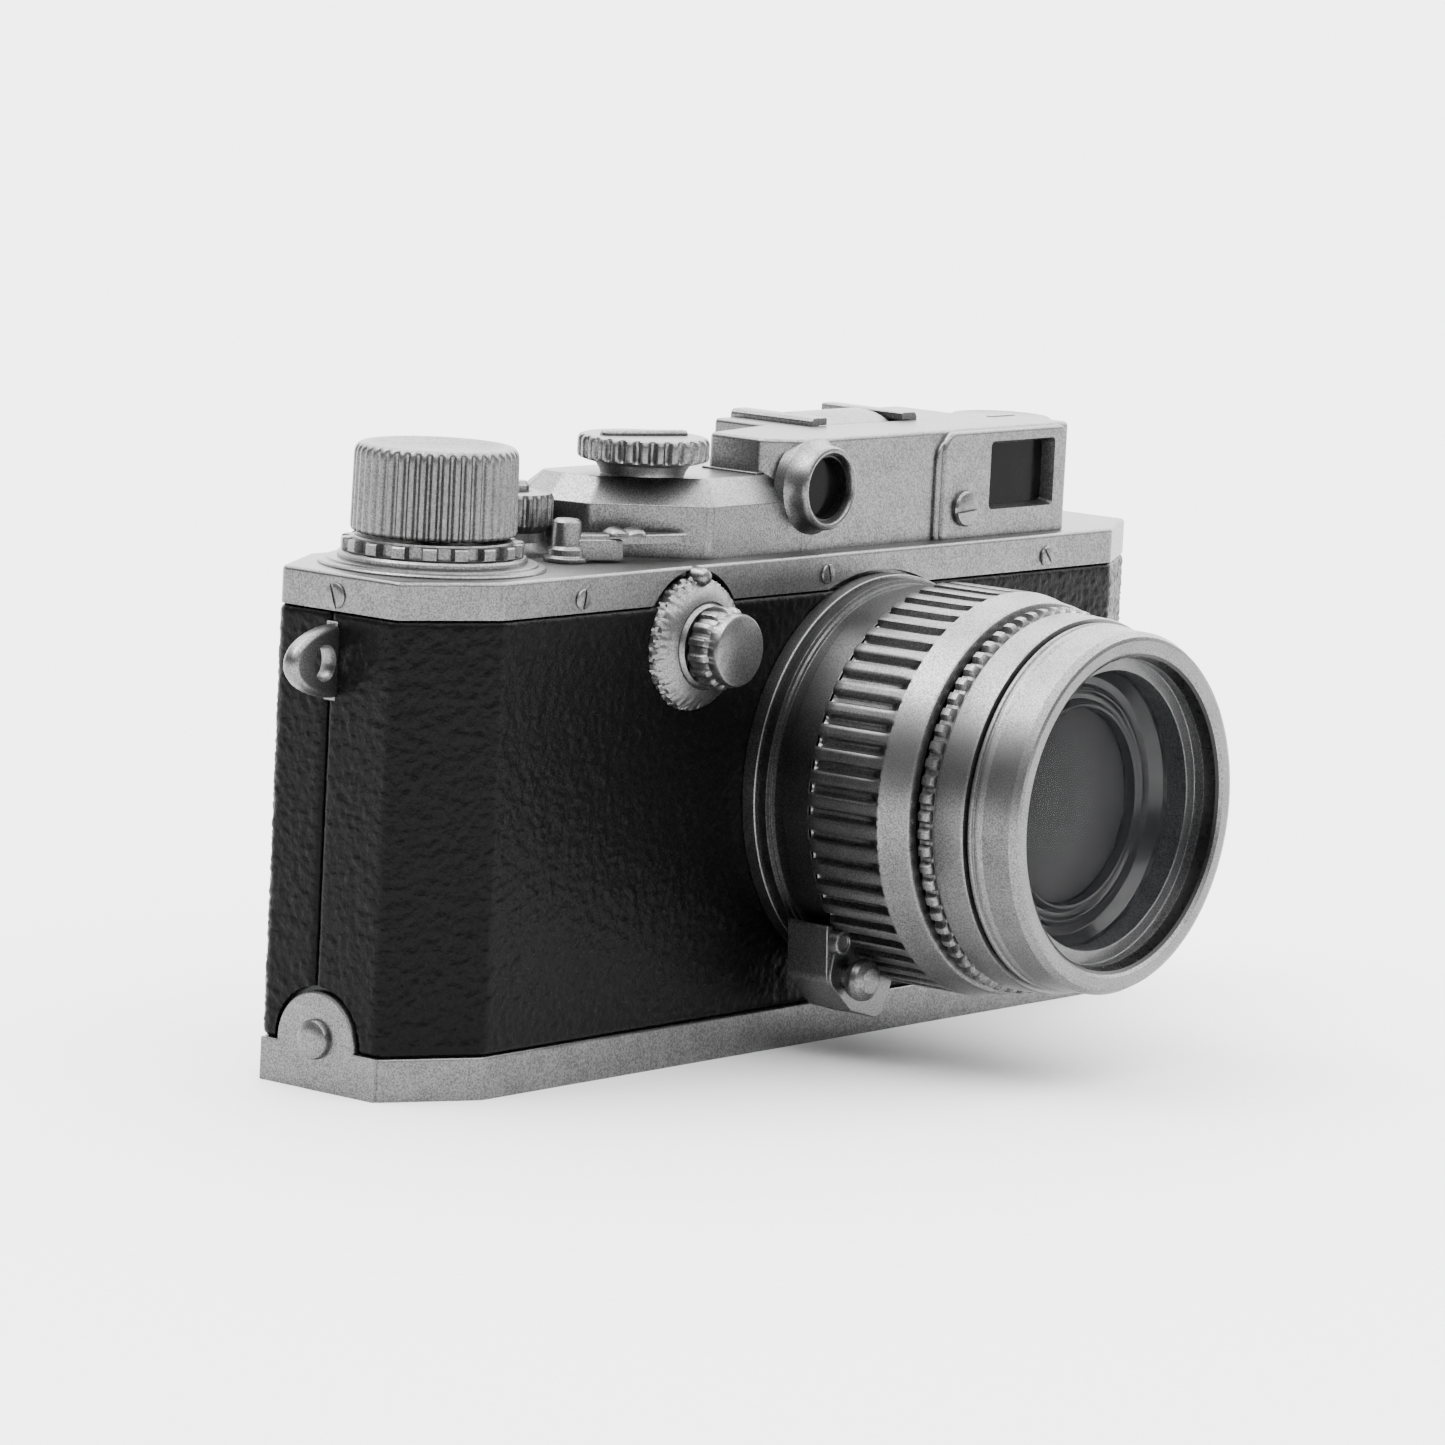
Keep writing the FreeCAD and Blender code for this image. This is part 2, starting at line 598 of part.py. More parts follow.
# ---------------------------------------------------------------- base plate and latch
def make_base_plate():
    """A shallow tray with a half-round tab on the wind end, a bush hole and the latch seat."""
    body = new_body("base_plate")
    pad(body, polygon(new_sketch(body), octagon()), base_height)
    tray = new_sketch(body, lift=base_floor)
    pocket(body, polygon(tray, octagon(1.3)), base_height - base_floor, forward=True)
    tab = new_sketch(body, "YZ_Plane", -half_length)
    circle(tab, TAB_Y, TAB_Z, TAB_RADIUS)
    pad(body, tab, TAB_PROUD)
    end = new_sketch(body, "YZ_Plane", -half_length)
    end_width = half_depth - end_cut_y
    pad(body, rectangle(end, -end_width, 0, end_width, base_height), TAB_PROUD)
    trim = new_sketch(body, "YZ_Plane", -half_length - 1)
    pocket(body, rectangle(trim, -8, -4, 8, 0), 3, forward=True)
    boss = new_sketch(body, "YZ_Plane", -half_length - 1.1)
    pad(body, circle(boss, TAB_Y, TAB_Z + 0.1, 2.3), 1.2)
    holes = new_sketch(body, lift=base_floor + 1)
    circle(holes, latch_x, 0, 7.0 + running)
    circle(holes, tripod_x, 0, 5.0)
    pocket(body, holes, base_floor + 2)
    return body


def make_base_fittings():
    """Tripod bush, latch key with its folding bow, the latch arm and the catch on the casting."""
    turned("tripod_bush",
           [(3.2, 0), (5.0, 0), (5.0, base_floor), (7.0, base_floor), (7.0, 3.0), (5.4, 3.4),
            (5.4, 6.2), (0, 6.2), (0, 5.4), (3.2, 5.4)], (tripod_x, 0, 0))
    key = turned("latch_key", [(0, 0.2), (7.0, 0.2), (7.0, 1.45), (8.4, 1.45), (8.4, 2.4), (0, 2.4)],
                 (latch_x, 0, 0))
    recess = new_sketch(key)
    circle(recess, 0, 0, 6.2)
    pocket(key, recess, 1.4, forward=True)
    bridge = new_sketch(key, lift=0.2)
    pad(key, rectangle(bridge, -5.2, -3.2, -1.0, 3.2), 1.5)
    pin_holes = new_sketch(key, "XZ_Plane", 6.8)
    pocket(key, circle(pin_holes, 0, 0.75, 0.41), 13.6)
    arm = box("latch_arm_bar", (latch_x - 12.7, -2.6, 2.4), 14.0, 5.2, 1.0)
    hub = cylinder("latch_arm_hub", (latch_x, 0, 2.4), 4.4, 1.0)
    keep(fuse("latch_arm", [arm, hub]), "latch_arm")
    strip = box("latch_catch_strip", (half_length - CASTING_INSET - 1.2, -4, 1.7), 1.2, 8, 12)
    foot_start = latch_x + 9.2
    foot = box("latch_catch_foot", (foot_start, -4, 1.7), half_length - CASTING_INSET - foot_start,
               8, 0.5)
    keep(fuse("latch_catch", [strip, foot]), "latch_catch")
    make_bow()


def make_bow():
    """The latch's folding finger bow: a flat half ring on a straight hinge bar."""
    body = new_body("latch_bow", (latch_x, 0, 0.75))
    ring = new_sketch(body, lift=-0.4)
    circle(ring, 0, 0, 5.8)
    circle(ring, 0, 0, 4.5)
    pad(body, ring, 0.8)
    half = new_sketch(body, lift=-1)
    pocket(body, rectangle(half, -7, -7, -0.4, 7), 2, forward=True)
    bar = new_sketch(body, lift=-0.4)
    pad(body, rectangle(bar, -0.4, -5.75, 0.4, 5.75), 0.8)
    pins = new_sketch(body, "XZ_Plane", -6.7)
    pad(body, circle(pins, 0, 0, 0.35), 13.4)


# ---------------------------------------------------------------- winding, sprocket and counter
gear_gap = distance(sprocket_x - wind_x, sprocket_y)
MESH_ANGLE = math.degrees(math.atan2(sprocket_y.value, sprocket_x.value - wind_x.value))


def gear(label, teeth, bore, at, phase):
    """A spur gear with narrow straight-sided teeth; phase is the angle of its first tooth."""
    pitch = gear_gap * (teeth / (WIND_TEETH + SPROCKET_TEETH))
    tooth_pitch = 2 * math.pi * pitch.value / teeth
    body = new_body(label, at, FreeCAD.Rotation(FreeCAD.Vector(0, 0, 1), phase))
    blank = new_sketch(body)
    circle(blank, 0, 0, pitch - 0.75)
    circle(blank, 0, 0, bore)
    pad(body, blank, GEAR_THICK)
    tooth = new_sketch(body)
    root_half = tooth_pitch * 0.24
    tip_half = tooth_pitch * 0.10
    polygon(tooth, [(pitch - 1.1, -root_half), (pitch + 0.5, -tip_half),
                    (pitch + 0.5, tip_half), (pitch - 1.1, root_half)])
    around(body, pad(body, tooth, GEAR_THICK), teeth)
    return body


def make_winding():
    """Knob, shaft, gear pair, take-up spool, sprocket and frame counter."""
    turned("wind_knob",
           [(2.05, 62.9), (8.6, 62.9), (8.6, 63.1), (9.5, 63.1), (9.3, 72.2), (8.4, 73.2),
            (7.4, 73.2), (6.9, 72.9), (0, 72.9), (0, 71.0), (2.05, 71.0)], (wind_x, 0, 0))
    turned("wind_shaft",
           [(0, 12.0), (2.0, 12.0), (2.0, GEAR_LOW), (2.0, 71.0), (0, 71.0)], (wind_x, 0, 0))
    gear("wind_gear", WIND_TEETH, 2.0, (wind_x, 0, GEAR_LOW), MESH_ANGLE)
    counter = turned("frame_counter",
                     [(2.0 + running, deck_height + 0.7), (10.6, deck_height + 0.7),
                      (10.6, deck_height + 1.4), (10.9, deck_height + 1.4),
                      (10.9, deck_height + 2.7), (9.9, deck_height + 3.3),
                      (2.0 + running, deck_height + 3.3)], (wind_x, 0, 0))
    notch = new_sketch(counter, lift=deck_height + 1.4)
    rectangle(notch, 10.2, -0.45, 11.4, 0.45)
    around(counter, pocket(counter, notch, 2.4, forward=True), 20)
    turned("takeup_spool",
           [(2.0 + running, 7.4), (10.2, 7.4), (10.2, 8.6), (5.6, 8.6), (5.6, 49.8), (10.2, 49.8),
            (10.2, 51.0), (2.0 + running, 51.0)], (wind_x, 0, 0))
    make_sprocket()


def make_sprocket():
    """Two rows of eight film teeth on a hollow drum with its own pins."""
    body = turned("sprocket",
                  [(0, 7.5), (1.5, 7.5), (1.5, 12.0), (6.0, 12.0), (6.0, 19.0), (5.0, 19.6),
                   (5.0, 44.8), (6.0, 45.4), (6.0, 50.4), (1.5, 50.4), (1.5, GEAR_LOW + GEAR_THICK),
                   (0, GEAR_LOW + GEAR_THICK)], (sprocket_x, sprocket_y, 0))
    tooth = new_sketch(body, lift=16.2)
    polygon(tooth, [(5.6, -0.7), (6.9, -0.35), (6.9, 0.35), (5.6, 0.7)])
    around(body, pad(body, tooth, 1.4), 8)
    upper = new_sketch(body, lift=46.8)
    polygon(upper, [(5.6, -0.7), (6.9, -0.35), (6.9, 0.35), (5.6, 0.7)])
    around(body, pad(body, upper, 1.4), 8)
    gear("sprocket_gear", SPROCKET_TEETH, 1.5, (sprocket_x, sprocket_y, GEAR_LOW),
         MESH_ANGLE + 180 + 180 / SPROCKET_TEETH)


# ---------------------------------------------------------------- shutter
roller_y = shutter_y + DRUM_RADIUS - ROLLER_RADIUS
curtain_y = shutter_y + DRUM_RADIUS + free_gap


def make_film_gate():
    """The shutter crate: a back plate with the film gate between two bearing flanges."""
    body = new_body("film_gate")
    plate = new_sketch(body, "XZ_Plane", -film_plane)
    rectangle(plate, -26.0, FRAME_LOW, 38.8, FRAME_HIGH)
    pad(body, plate, 1.6)
    for low, left in ((FRAME_LOW, -38.6), (FRAME_HIGH - 1.6, -26.0)):
        flange = new_sketch(body, lift=low)
        rectangle(flange, left, FLANGE_FRONT, 38.8, film_plane - 1)
        pad(body, flange, 1.6)
    hole = new_sketch(body, "XZ_Plane", -film_plane - 1)
    rectangle(hole, lens_x - gate_width / 2, lens_z - gate_height / 2,
              lens_x + gate_width / 2, lens_z + gate_height / 2)
    pocket(body, hole, 4, forward=True)
    bearings = new_sketch(body, lift=FRAME_HIGH + 1)
    circle(bearings, shutter_x, shutter_y, SHUTTER_SHAFT + running)
    circle(bearings, ROLLER_X, roller_y, ROLLER_PIN + running)
    pocket(body, bearings, FRAME_HIGH - FRAME_LOW + 2)
    foot = new_sketch(body, lift=FRAME_LOW + 2)
    pocket(body, circle(foot, sprocket_x, sprocket_y, SPROCKET_PIN + running), 3)
    arm_bearing = new_sketch(body, lift=FRAME_HIGH + 1)
    pocket(body, circle(arm_bearing, ARM_X, ARM_Y, ARM_PIN + running), 4)


def make_shutter():
    """Main drum with the dial's shaft, curtain roller, curtains, pressure plate and speed dial."""
    turned("shutter_drum",
           [(0, FRAME_LOW + 0.3), (SHUTTER_SHAFT, FRAME_LOW + 0.3), (SHUTTER_SHAFT, 9.2),
            (DRUM_RADIUS, 9.2), (DRUM_RADIUS, 50.6), (SHUTTER_SHAFT, 50.6),
            (SHUTTER_SHAFT, 69.6), (0, 69.6)], (shutter_x, shutter_y, 0))
    turned("curtain_roller",
           [(0, FRAME_LOW + 0.3), (ROLLER_PIN, FRAME_LOW + 0.3), (ROLLER_PIN, 9.2),
            (ROLLER_RADIUS, 9.2), (ROLLER_RADIUS, 50.6), (ROLLER_PIN, 50.6),
            (ROLLER_PIN, FRAME_HIGH - 0.3), (0, FRAME_HIGH - 0.3)],
           (ROLLER_X, roller_y, 0))
    cloth = box("curtain_cloth", (shutter_x, curtain_y, 16.4), ROLLER_X - shutter_x, 0.3, 31.6)
    lath = box("curtain_lath", (lens_x - 20.0, curtain_y + 0.2, 16.4), 2.2, 0.5, 31.6)
    keep(fuse("shutter_curtains", [cloth, lath]), "shutter_curtains")
    plate = box("pressure_plate", (lens_x - 23.0, film_plane + 0.2, lens_z - 17), 46, 0.9, 34)
    keep(plate, "pressure_plate")
    bore = SHUTTER_SHAFT + running
    dial = turned("speed_dial",
                  [(bore, 68.5), (6.3, 68.5), (7.1, 70.7), (7.8, 70.9), (7.8, 72.8), (7.3, 73.1),
                   (0, 73.1), (0, 69.9), (bore, 69.9)], (shutter_x, shutter_y, 0))
    ridge = new_sketch(dial, lift=73.0)
    rectangle(ridge, -6.4, -1.0, 6.4, 1.0)
    pad(dial, ridge, 0.9)


# ---------------------------------------------------------------- release, levers and dials
def make_release():
    """Knurled collar, sprung button with its rod, and the coil spring between them."""
    turned("release_collar",
           [(0.7, deck_height), (2.9, deck_height), (2.9, deck_height + 2.4),
            (3.5, deck_height + 3.6), (3.5, deck_height + 6.9), (3.1, deck_height + 7.3),
            (1.7, deck_height + 7.3), (1.7, deck_height + 0.4), (0.7, deck_height + 0.4)],
           (sprocket_x, sprocket_y, 0))
    turned("release_button",
           [(0, 59.5), (0.6, 59.5), (0.6, 64.2), (1.6, 64.2), (1.6, 67.2), (1.2, 67.7), (0, 67.8)],
           (sprocket_x, sprocket_y, 0))
    helix = doc.addObject("Part::Helix", "release_spring_path")
    bind(helix, "Pitch", 0.95)
    bind(helix, "Height", 3.8)
    bind(helix, "Radius", 1.15)
    wire = doc.addObject("Part::Circle", "release_spring_wire")
    bind(wire, "Radius", 0.2)
    wire.Placement = FreeCAD.Placement(FreeCAD.Vector(1.15, 0, 0),
                                       FreeCAD.Rotation(FreeCAD.Vector(1, 0, 0), 90))
    coil = doc.addObject("Part::Sweep", "release_spring")
    coil.Sections = [wire]
    coil.Spine = (helix, [])
    coil.Solid = True
    coil.Frenet = True
    place(coil, (sprocket_x, sprocket_y, 59.9))
    keep(coil, "release_spring")


def make_lever():
    """The advance and rewind lever: a post with a slim pointer and a thumb nib."""
    body = new_body("advance_rewind_lever", (lever_x, lever_y, 0),
                    FreeCAD.Rotation(FreeCAD.Vector(0, 0, 1), LEVER_ANGLE))
    revolve(body, polygon(new_sketch(body, "XZ_Plane"),
                          [(0, 57.6), (1.0, 57.6), (1.0, deck_height), (2.1, deck_height),
                           (2.1, 60.2), (1.45, 60.6), (1.45, 64.0), (1.2, 64.2), (0, 64.2)]))
    arm = new_sketch(body, lift=61.7)
    polygon(arm, [(0, -1.0), (7.6, -0.9), (10.4, -1.1), (15.2, -0.3), (15.9, 0.3), (15.4, 0.7),
                  (10.4, 0.9), (7.6, 0.9), (0, 1.0)])
    pad(body, arm, 0.8)
    nib = new_sketch(body, lift=62.4)
    pad(body, rectangle(nib, 4.6, -0.6, 8.0, 0.6), 1.3)


def make_slow_dial():
    """The slow-speed dial on the front: a conical seat and a knurled knob."""
    seat_at = (slow_x, -half_depth + skin, slow_z)
    turned("slow_dial_seat",
           [(SLOW_STEM + running, 0), (SLOW_SEAT, 0), (SLOW_SEAT, 1.6), (SLOW_SEAT - 0.4, 2.0),
            (5.2, 3.4), (SLOW_STEM + running, 3.4)], seat_at, FORWARD)
    turned("slow_speed_knob",
           [(0, -2.2), (SLOW_STEM, -2.2), (SLOW_STEM, 3.6), (4.3, 3.6), (4.9, 4.0), (4.9, 6.2),
            (4.3, 6.6), (4.3, 7.8), (4.0, 8.1), (0, 8.1)], seat_at, FORWARD)


def make_rewind():
    """Rewind knob and the shaft with the two-pronged fork."""
    turned("rewind_knob",
           [(2.0, 60.8), (6.9, 60.8), (6.9, 71.6), (6.3, 72.2), (0, 72.2), (0, 70.6), (2.0, 70.6)],
           (rewind_x, 0, 0))
    body = turned("rewind_fork",
                  [(0, 46.0), (2.0, 46.0), (2.0, 50.4), (4.4, 50.4), (4.4, 52.0), (2.0, 52.0),
                   (2.0, 70.6), (0, 70.6)], (rewind_x, 0, 0))
    slot = new_sketch(body, lift=45.0)
    pocket(body, rectangle(slot, -0.7, -3.0, 0.7, 3.0), 4.6, forward=True)


# ---------------------------------------------------------------- lens
def lens_ring(label, profile):
    """A turned lens piece; heights run forwards from the film-side centre plane of the body."""
    return turned(label, profile, (lens_x, 0, lens_z), FORWARD)


def make_lens_mount():
    """The body's mount ring with its sunk screws."""
    ring = lens_ring("lens_mount_ring",
              [(19.5, half_depth - skin), (22.2, half_depth - skin), (22.2, half_depth + 0.1),
               (MOUNT_RADIUS, half_depth + 0.1), (MOUNT_RADIUS, flange_face - 0.3),
               (MOUNT_RADIUS - 0.3, flange_face), (19.5, flange_face)])
    screws = []
    seats = new_sketch(ring, lift=flange_face + 1)
    for i in range(MOUNT_SCREWS):
        angle = math.radians(45 + 360 * i / MOUNT_SCREWS)
        across = SCREW_CIRCLE * math.cos(angle)
        up = SCREW_CIRCLE * math.sin(angle)
        circle(seats, across, up, 1.0)
        screws.append(cylinder(f"mount_screw_{i}", (lens_x + across, -flange_face + 0.9, lens_z + up),
                               0.95, 0.8, FORWARD))
    pocket(ring, seats, 1.9)
    group("mount_screws", screws)


def make_lens_collar():
    """Rear collar with the screw thread, the stepped distance scale and the guide sleeve."""
    lens_ring("lens_collar",
              [(17.4, 12.4), (19.4, 12.4), (19.4, flange_face), (23.6, flange_face),
               (23.6, 18.6), (22.9, 18.6), (22.9, 20.4), (23.3, 20.6), (23.3, 24.6),
               (COLLAR_SLEEVE, 24.6), (COLLAR_SLEEVE, 37.5), (BARREL_RADIUS + running, 37.5),
               (BARREL_RADIUS + running, 20.0), (17.4, 20.0)])


def make_focusing_ring():
    """Ribbed ring with the lower-left lever block that holds the infinity lock."""
    bore = COLLAR_SLEEVE + running
    body = lens_ring("focusing_ring",
                     [(bore, FOCUS_BACK), (23.5, FOCUS_BACK), (24.2, FOCUS_BACK + 0.6),
                      (24.2, 35.6), (23.9, 36.4), (23.4, FOCUS_FRONT - 0.3),
                      (23.1, FOCUS_FRONT), (bore, FOCUS_FRONT)])
    block = new_sketch(body, lift=19.6)
    polygon(block, [(-7.2, -23.3), (-9.2, -27.6), (-15.0, -26.0), (-19.4, -22.0), (-19.8, -15.2),
                    (-18.6, -15.6), (-13.3, -20.3)])
    pad(body, block, 6.4)
    web = new_sketch(body, lift=FOCUS_BACK)
    polygon(web, [(-6.9, -22.2), (-9.2, -27.6), (-15.0, -26.0), (-19.4, -22.0), (-17.8, -14.9)])
    pad(body, web, 1.1)
    hole = new_sketch(body, lift=FOCUS_BACK + 4)
    circle(hole, LOCK_ACROSS, LOCK_UP, 1.4 + running)
    pocket(body, hole, 12)
    turned("infinity_lock_button",
           [(0, 20.2), (1.4, 20.2), (1.4, 27.2), (2.3, 27.2), (2.35, 28.6), (1.9, 29.4), (0, 29.6)],
           (lens_x + LOCK_ACROSS, 0, lens_z + LOCK_UP), FORWARD)


def make_front_group():
    """Everything that moves out when focusing: barrel, optics and the filter rim."""
    lens_ring("inner_barrel",
              [(16.6, 20.6), (BARREL_RADIUS, 20.6), (BARREL_RADIUS, 47.0), (16.6, 47.0)])
    lens_ring("front_barrel",
              [(16.6, 47.0), (21.4, 47.0), (21.9, 47.3), (21.6, 49.5), (21.4, 52.8),
               (20.9, RIM_FRONT), (19.3, RIM_FRONT), (FILTER_RADIUS, RIM_FRONT - 0.5),
               (FILTER_RADIUS, 51.6), (18.2, 51.6), (18.2, 50.2), (16.6, 50.2)])
    lens_ring("optics_ring",
              [(11.7, 42.0), (16.55, 42.0), (16.55, 48.8), (15.6, 48.8), (14.6, 46.6),
               (12.6, 45.4), (11.7, 45.0)])
    lens_ring("front_cover_glass",
              [(0, 50.3), (18.1, 50.3), (18.1, 51.5), (0, 51.5)])
    lens_ring("front_element",
              [(0, 38.5), (11.6, 41.0), (11.6, 43.6), (9.0, 44.9), (5.0, 45.8), (0, 46.2)])
    lens_ring("middle_element",
              [(0, 33.5), (9.5, 33.5), (12.0, 34.6), (12.0, 36.6), (6.0, 37.3), (0, 37.6)])
    lens_ring("optics_cell",
              [(12.1, 24.0), (16.5, 24.0), (16.5, 41.6), (14.4, 41.6), (12.1, 36.8)])
    lens_ring("rear_cell",
              [(10.1, 14.2), (12.0, 14.2), (14.0, 21.6), (16.5, 21.6), (16.5, 23.6), (10.1, 23.6)])
    lens_ring("rear_element", [(0, 14.8), (10.0, 15.8), (10.0, 20.4), (0, 21.4)])
    lens_ring("range_cam",
              [(15.6, 11.2), (17.1, 11.2), (17.1, 20.5), (16.5, 20.5), (16.5, 21.5), (15.6, 21.5)])
    lens_ring("aperture_ring",
              [(BARREL_RADIUS + running, IRIS_BACK), (22.4, IRIS_BACK), (23.0, IRIS_BACK + 0.4),
               (23.0, 42.8), (22.4, 43.2), (22.4, IRIS_FRONT - 0.3), (22.1, IRIS_FRONT),
               (BARREL_RADIUS + running, IRIS_FRONT)])


def make_iris():
    """Aperture blades: thin flat leaves set around a half-open hole."""
    leaves = []
    for i in range(BLADES):
        angle = 360 * i / BLADES
        leaf = box(f"aperture_leaf_{i}", (0, 0, 0), 5.6, 5.0, 0.08)
        turn = FreeCAD.Rotation(FreeCAD.Vector(0, 0, 1), angle)
        place(leaf, (5.0 * math.cos(math.radians(angle)), 5.0 * math.sin(math.radians(angle)),
                     0.14 * i), turn)
        leaves.append(leaf)
    thing = doc.addObject("Part::Compound", "aperture_blades")
    thing.Links = leaves
    place(thing, (lens_x, -31.0, lens_z), FORWARD)
    return keep(thing, "aperture_blades")


def make_range_arm():
    """The rangefinder arm: a pivoted lever whose roller follows the cam at the back of the lens."""
    body = new_body("rangefinder_arm", (ARM_X, ARM_Y, 0))
    hub = new_sketch(body, lift=46.4)
    pad(body, circle(hub, 0, 0, 1.5), 4.2)
    pin = new_sketch(body, lift=50.0)
    pad(body, circle(pin, 0, 0, ARM_PIN), FRAME_HIGH - 50.0 - free_gap)
    arm = new_sketch(body, lift=47.0)
    polygon(arm, [(0, -1.0), (15.4, -0.8), (15.4, 0.8), (0, 1.0)])
    pad(body, arm, 2.0)
    roller = new_sketch(body, lift=46.6)
    pad(body, circle(roller, 16.6, 0, 1.6), 2.8)


make_casting()
make_leatherettes()
make_strap_lugs()
make_top_cover()
make_finder_pieces()
make_base_plate()
make_base_fittings()
make_winding()
make_film_gate()
make_shutter()
make_release()
make_lever()
make_slow_dial()
make_rewind()
make_lens_mount()
make_lens_collar()
make_focusing_ring()
make_front_group()
make_iris()
make_range_arm()
doc.recompute()

for item in doc.Objects:
    if "Invalid" in item.State or "Error" in item.State:
        raise RuntimeError(f"{item.Label} failed: {item.State}")
os.makedirs("parts", exist_ok=True)
for piece in SUBPARTS:
    if piece.Shape.isNull() or not piece.Shape.isValid():
        raise RuntimeError(f"{piece.Label} has no valid shape")
    piece.Shape.exportStep(f"parts/{piece.Label}.step")
print(len(SUBPARTS), "pieces")
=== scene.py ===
"""A 35 mm rangefinder camera in satin silver and black leatherette, standing on a pale floor.

Lengths in this script are in millimetres and are turned into metres when a piece is made.
"""
import json
import math

import bmesh
import bpy
from mathutils import Matrix, Vector, noise

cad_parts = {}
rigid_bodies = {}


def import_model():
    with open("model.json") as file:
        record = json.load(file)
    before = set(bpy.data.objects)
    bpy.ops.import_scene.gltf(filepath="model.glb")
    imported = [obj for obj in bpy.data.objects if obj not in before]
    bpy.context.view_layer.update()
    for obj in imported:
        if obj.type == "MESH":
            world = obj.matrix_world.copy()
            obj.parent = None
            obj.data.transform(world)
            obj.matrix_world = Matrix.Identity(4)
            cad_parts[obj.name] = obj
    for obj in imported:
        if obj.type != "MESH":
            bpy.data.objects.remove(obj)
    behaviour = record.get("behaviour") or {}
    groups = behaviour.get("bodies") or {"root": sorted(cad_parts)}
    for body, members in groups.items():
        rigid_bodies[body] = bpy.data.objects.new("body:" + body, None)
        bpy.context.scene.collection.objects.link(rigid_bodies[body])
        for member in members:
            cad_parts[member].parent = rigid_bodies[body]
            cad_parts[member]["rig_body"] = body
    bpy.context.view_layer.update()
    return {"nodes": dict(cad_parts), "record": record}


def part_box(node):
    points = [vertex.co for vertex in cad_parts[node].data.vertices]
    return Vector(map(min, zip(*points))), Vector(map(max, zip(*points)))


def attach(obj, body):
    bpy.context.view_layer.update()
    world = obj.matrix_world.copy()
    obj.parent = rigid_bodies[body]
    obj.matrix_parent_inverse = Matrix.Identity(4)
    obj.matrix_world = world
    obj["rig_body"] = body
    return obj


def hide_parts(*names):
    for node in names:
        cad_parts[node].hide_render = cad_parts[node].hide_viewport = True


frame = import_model()
noise.seed_set(7)  # without a seed, noise_vector changes with the clock

MM = 0.001
TAU = 2 * math.pi


# ---- places read from the frame
def span(node):
    """Lowest and highest corner of a CAD node, in millimetres."""
    low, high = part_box(node)
    return low / MM, high / MM


def middle(node):
    low, high = span(node)
    return (low + high) / 2


def half_width(node):
    low, high = span(node)
    return (high.x - low.x) / 2


def heights(node):
    low, high = span(node)
    return low.z, high.z


def lens_span(node):
    """Distances of a lens part's back and front from the camera's middle plane."""
    low, high = span(node)
    return -high.y, -low.y


cover_low, cover_high = span("top_cover")
window_low, window_high = span("viewfinder_window")
shoe_low, shoe_high = span("accessory_shoe")
lens_x, lens_z = middle("lens_mount_ring").x, middle("lens_mount_ring").z
HALF_LENGTH = cover_high.x
HALF_DEPTH = cover_high.y
HOUSING_TOP = cover_high.z
COVER_BOTTOM = cover_low.z
BASE_BOTTOM = span("base_plate")[0].z
WALL_TOP = span("front_leatherette")[0].z - 0.02
DECK = span("release_collar")[0].z
FRONT_WALL = window_low.y - 0.9
RANGE_WINDOW = middle("rangefinder_window")
EYE = middle("eyepiece_ring")
DIAL = middle("speed_dial")
REWIND = middle("rewind_knob")
WIND = middle("wind_knob")
END_CUT = (11.1, 6.2)


def facing_front(x, y, z):
    """A place whose own Z axis points forwards, out of the camera's front."""
    return Matrix.Translation((x, y, z)) @ Matrix.Rotation(math.pi / 2, 4, "X")


def upright(x, y):
    return Matrix.Translation((x, y, 0))


ON_LENS = facing_front(lens_x, 0, lens_z)


# ---- shape tools
def rounded(corners, radius, steps=4):
    """A closed outline with its corners rounded; a corner's third number is its own radius."""
    points = []
    for i, corner in enumerate(corners):
        here = Vector(corner[:2])
        before = Vector(corners[i - 1][:2]) - here
        after = Vector(corners[(i + 1) % len(corners)][:2]) - here
        wanted = corner[2] if len(corner) > 2 else radius
        angle = before.angle(after)
        if wanted <= 0 or angle > math.pi - 0.05:
            points.append(here)
            continue
        reach = min(wanted / math.tan(angle / 2), 0.45 * min(before.length, after.length))
        start, end = before.normalized() * reach, after.normalized() * reach
        bisector = (start + end).normalized()
        centre = bisector * (reach / math.cos(angle / 2))
        size = (start - centre).length
        for k in range(steps + 1):
            share = k / steps
            spoke = (start - centre) * (1 - share) + (end - centre) * share
            points.append(here + centre + spoke.normalized() * size)
    return points


def outward(shape):
    bmesh.ops.recalc_face_normals(shape, faces=shape.faces)
    return shape


def prism(outline, low, high):
    """A closed solid standing on an outline."""
    shape = bmesh.new()
    lower = [shape.verts.new((p[0], p[1], low)) for p in outline]
    upper = [shape.verts.new((p[0], p[1], high)) for p in outline]
    return skin_over(shape, [lower, upper])


def skin_over(shape, rings):
    """Close a stack of equal rings into a solid."""
    count = len(rings[0])
    for under, over in zip(rings, rings[1:]):
        for i in range(count):
            j = (i + 1) % count
            shape.faces.new((under[i], under[j], over[j], over[i]))
    shape.faces.new(list(reversed(rings[0])))
    shape.faces.new(rings[-1])
    return outward(shape)


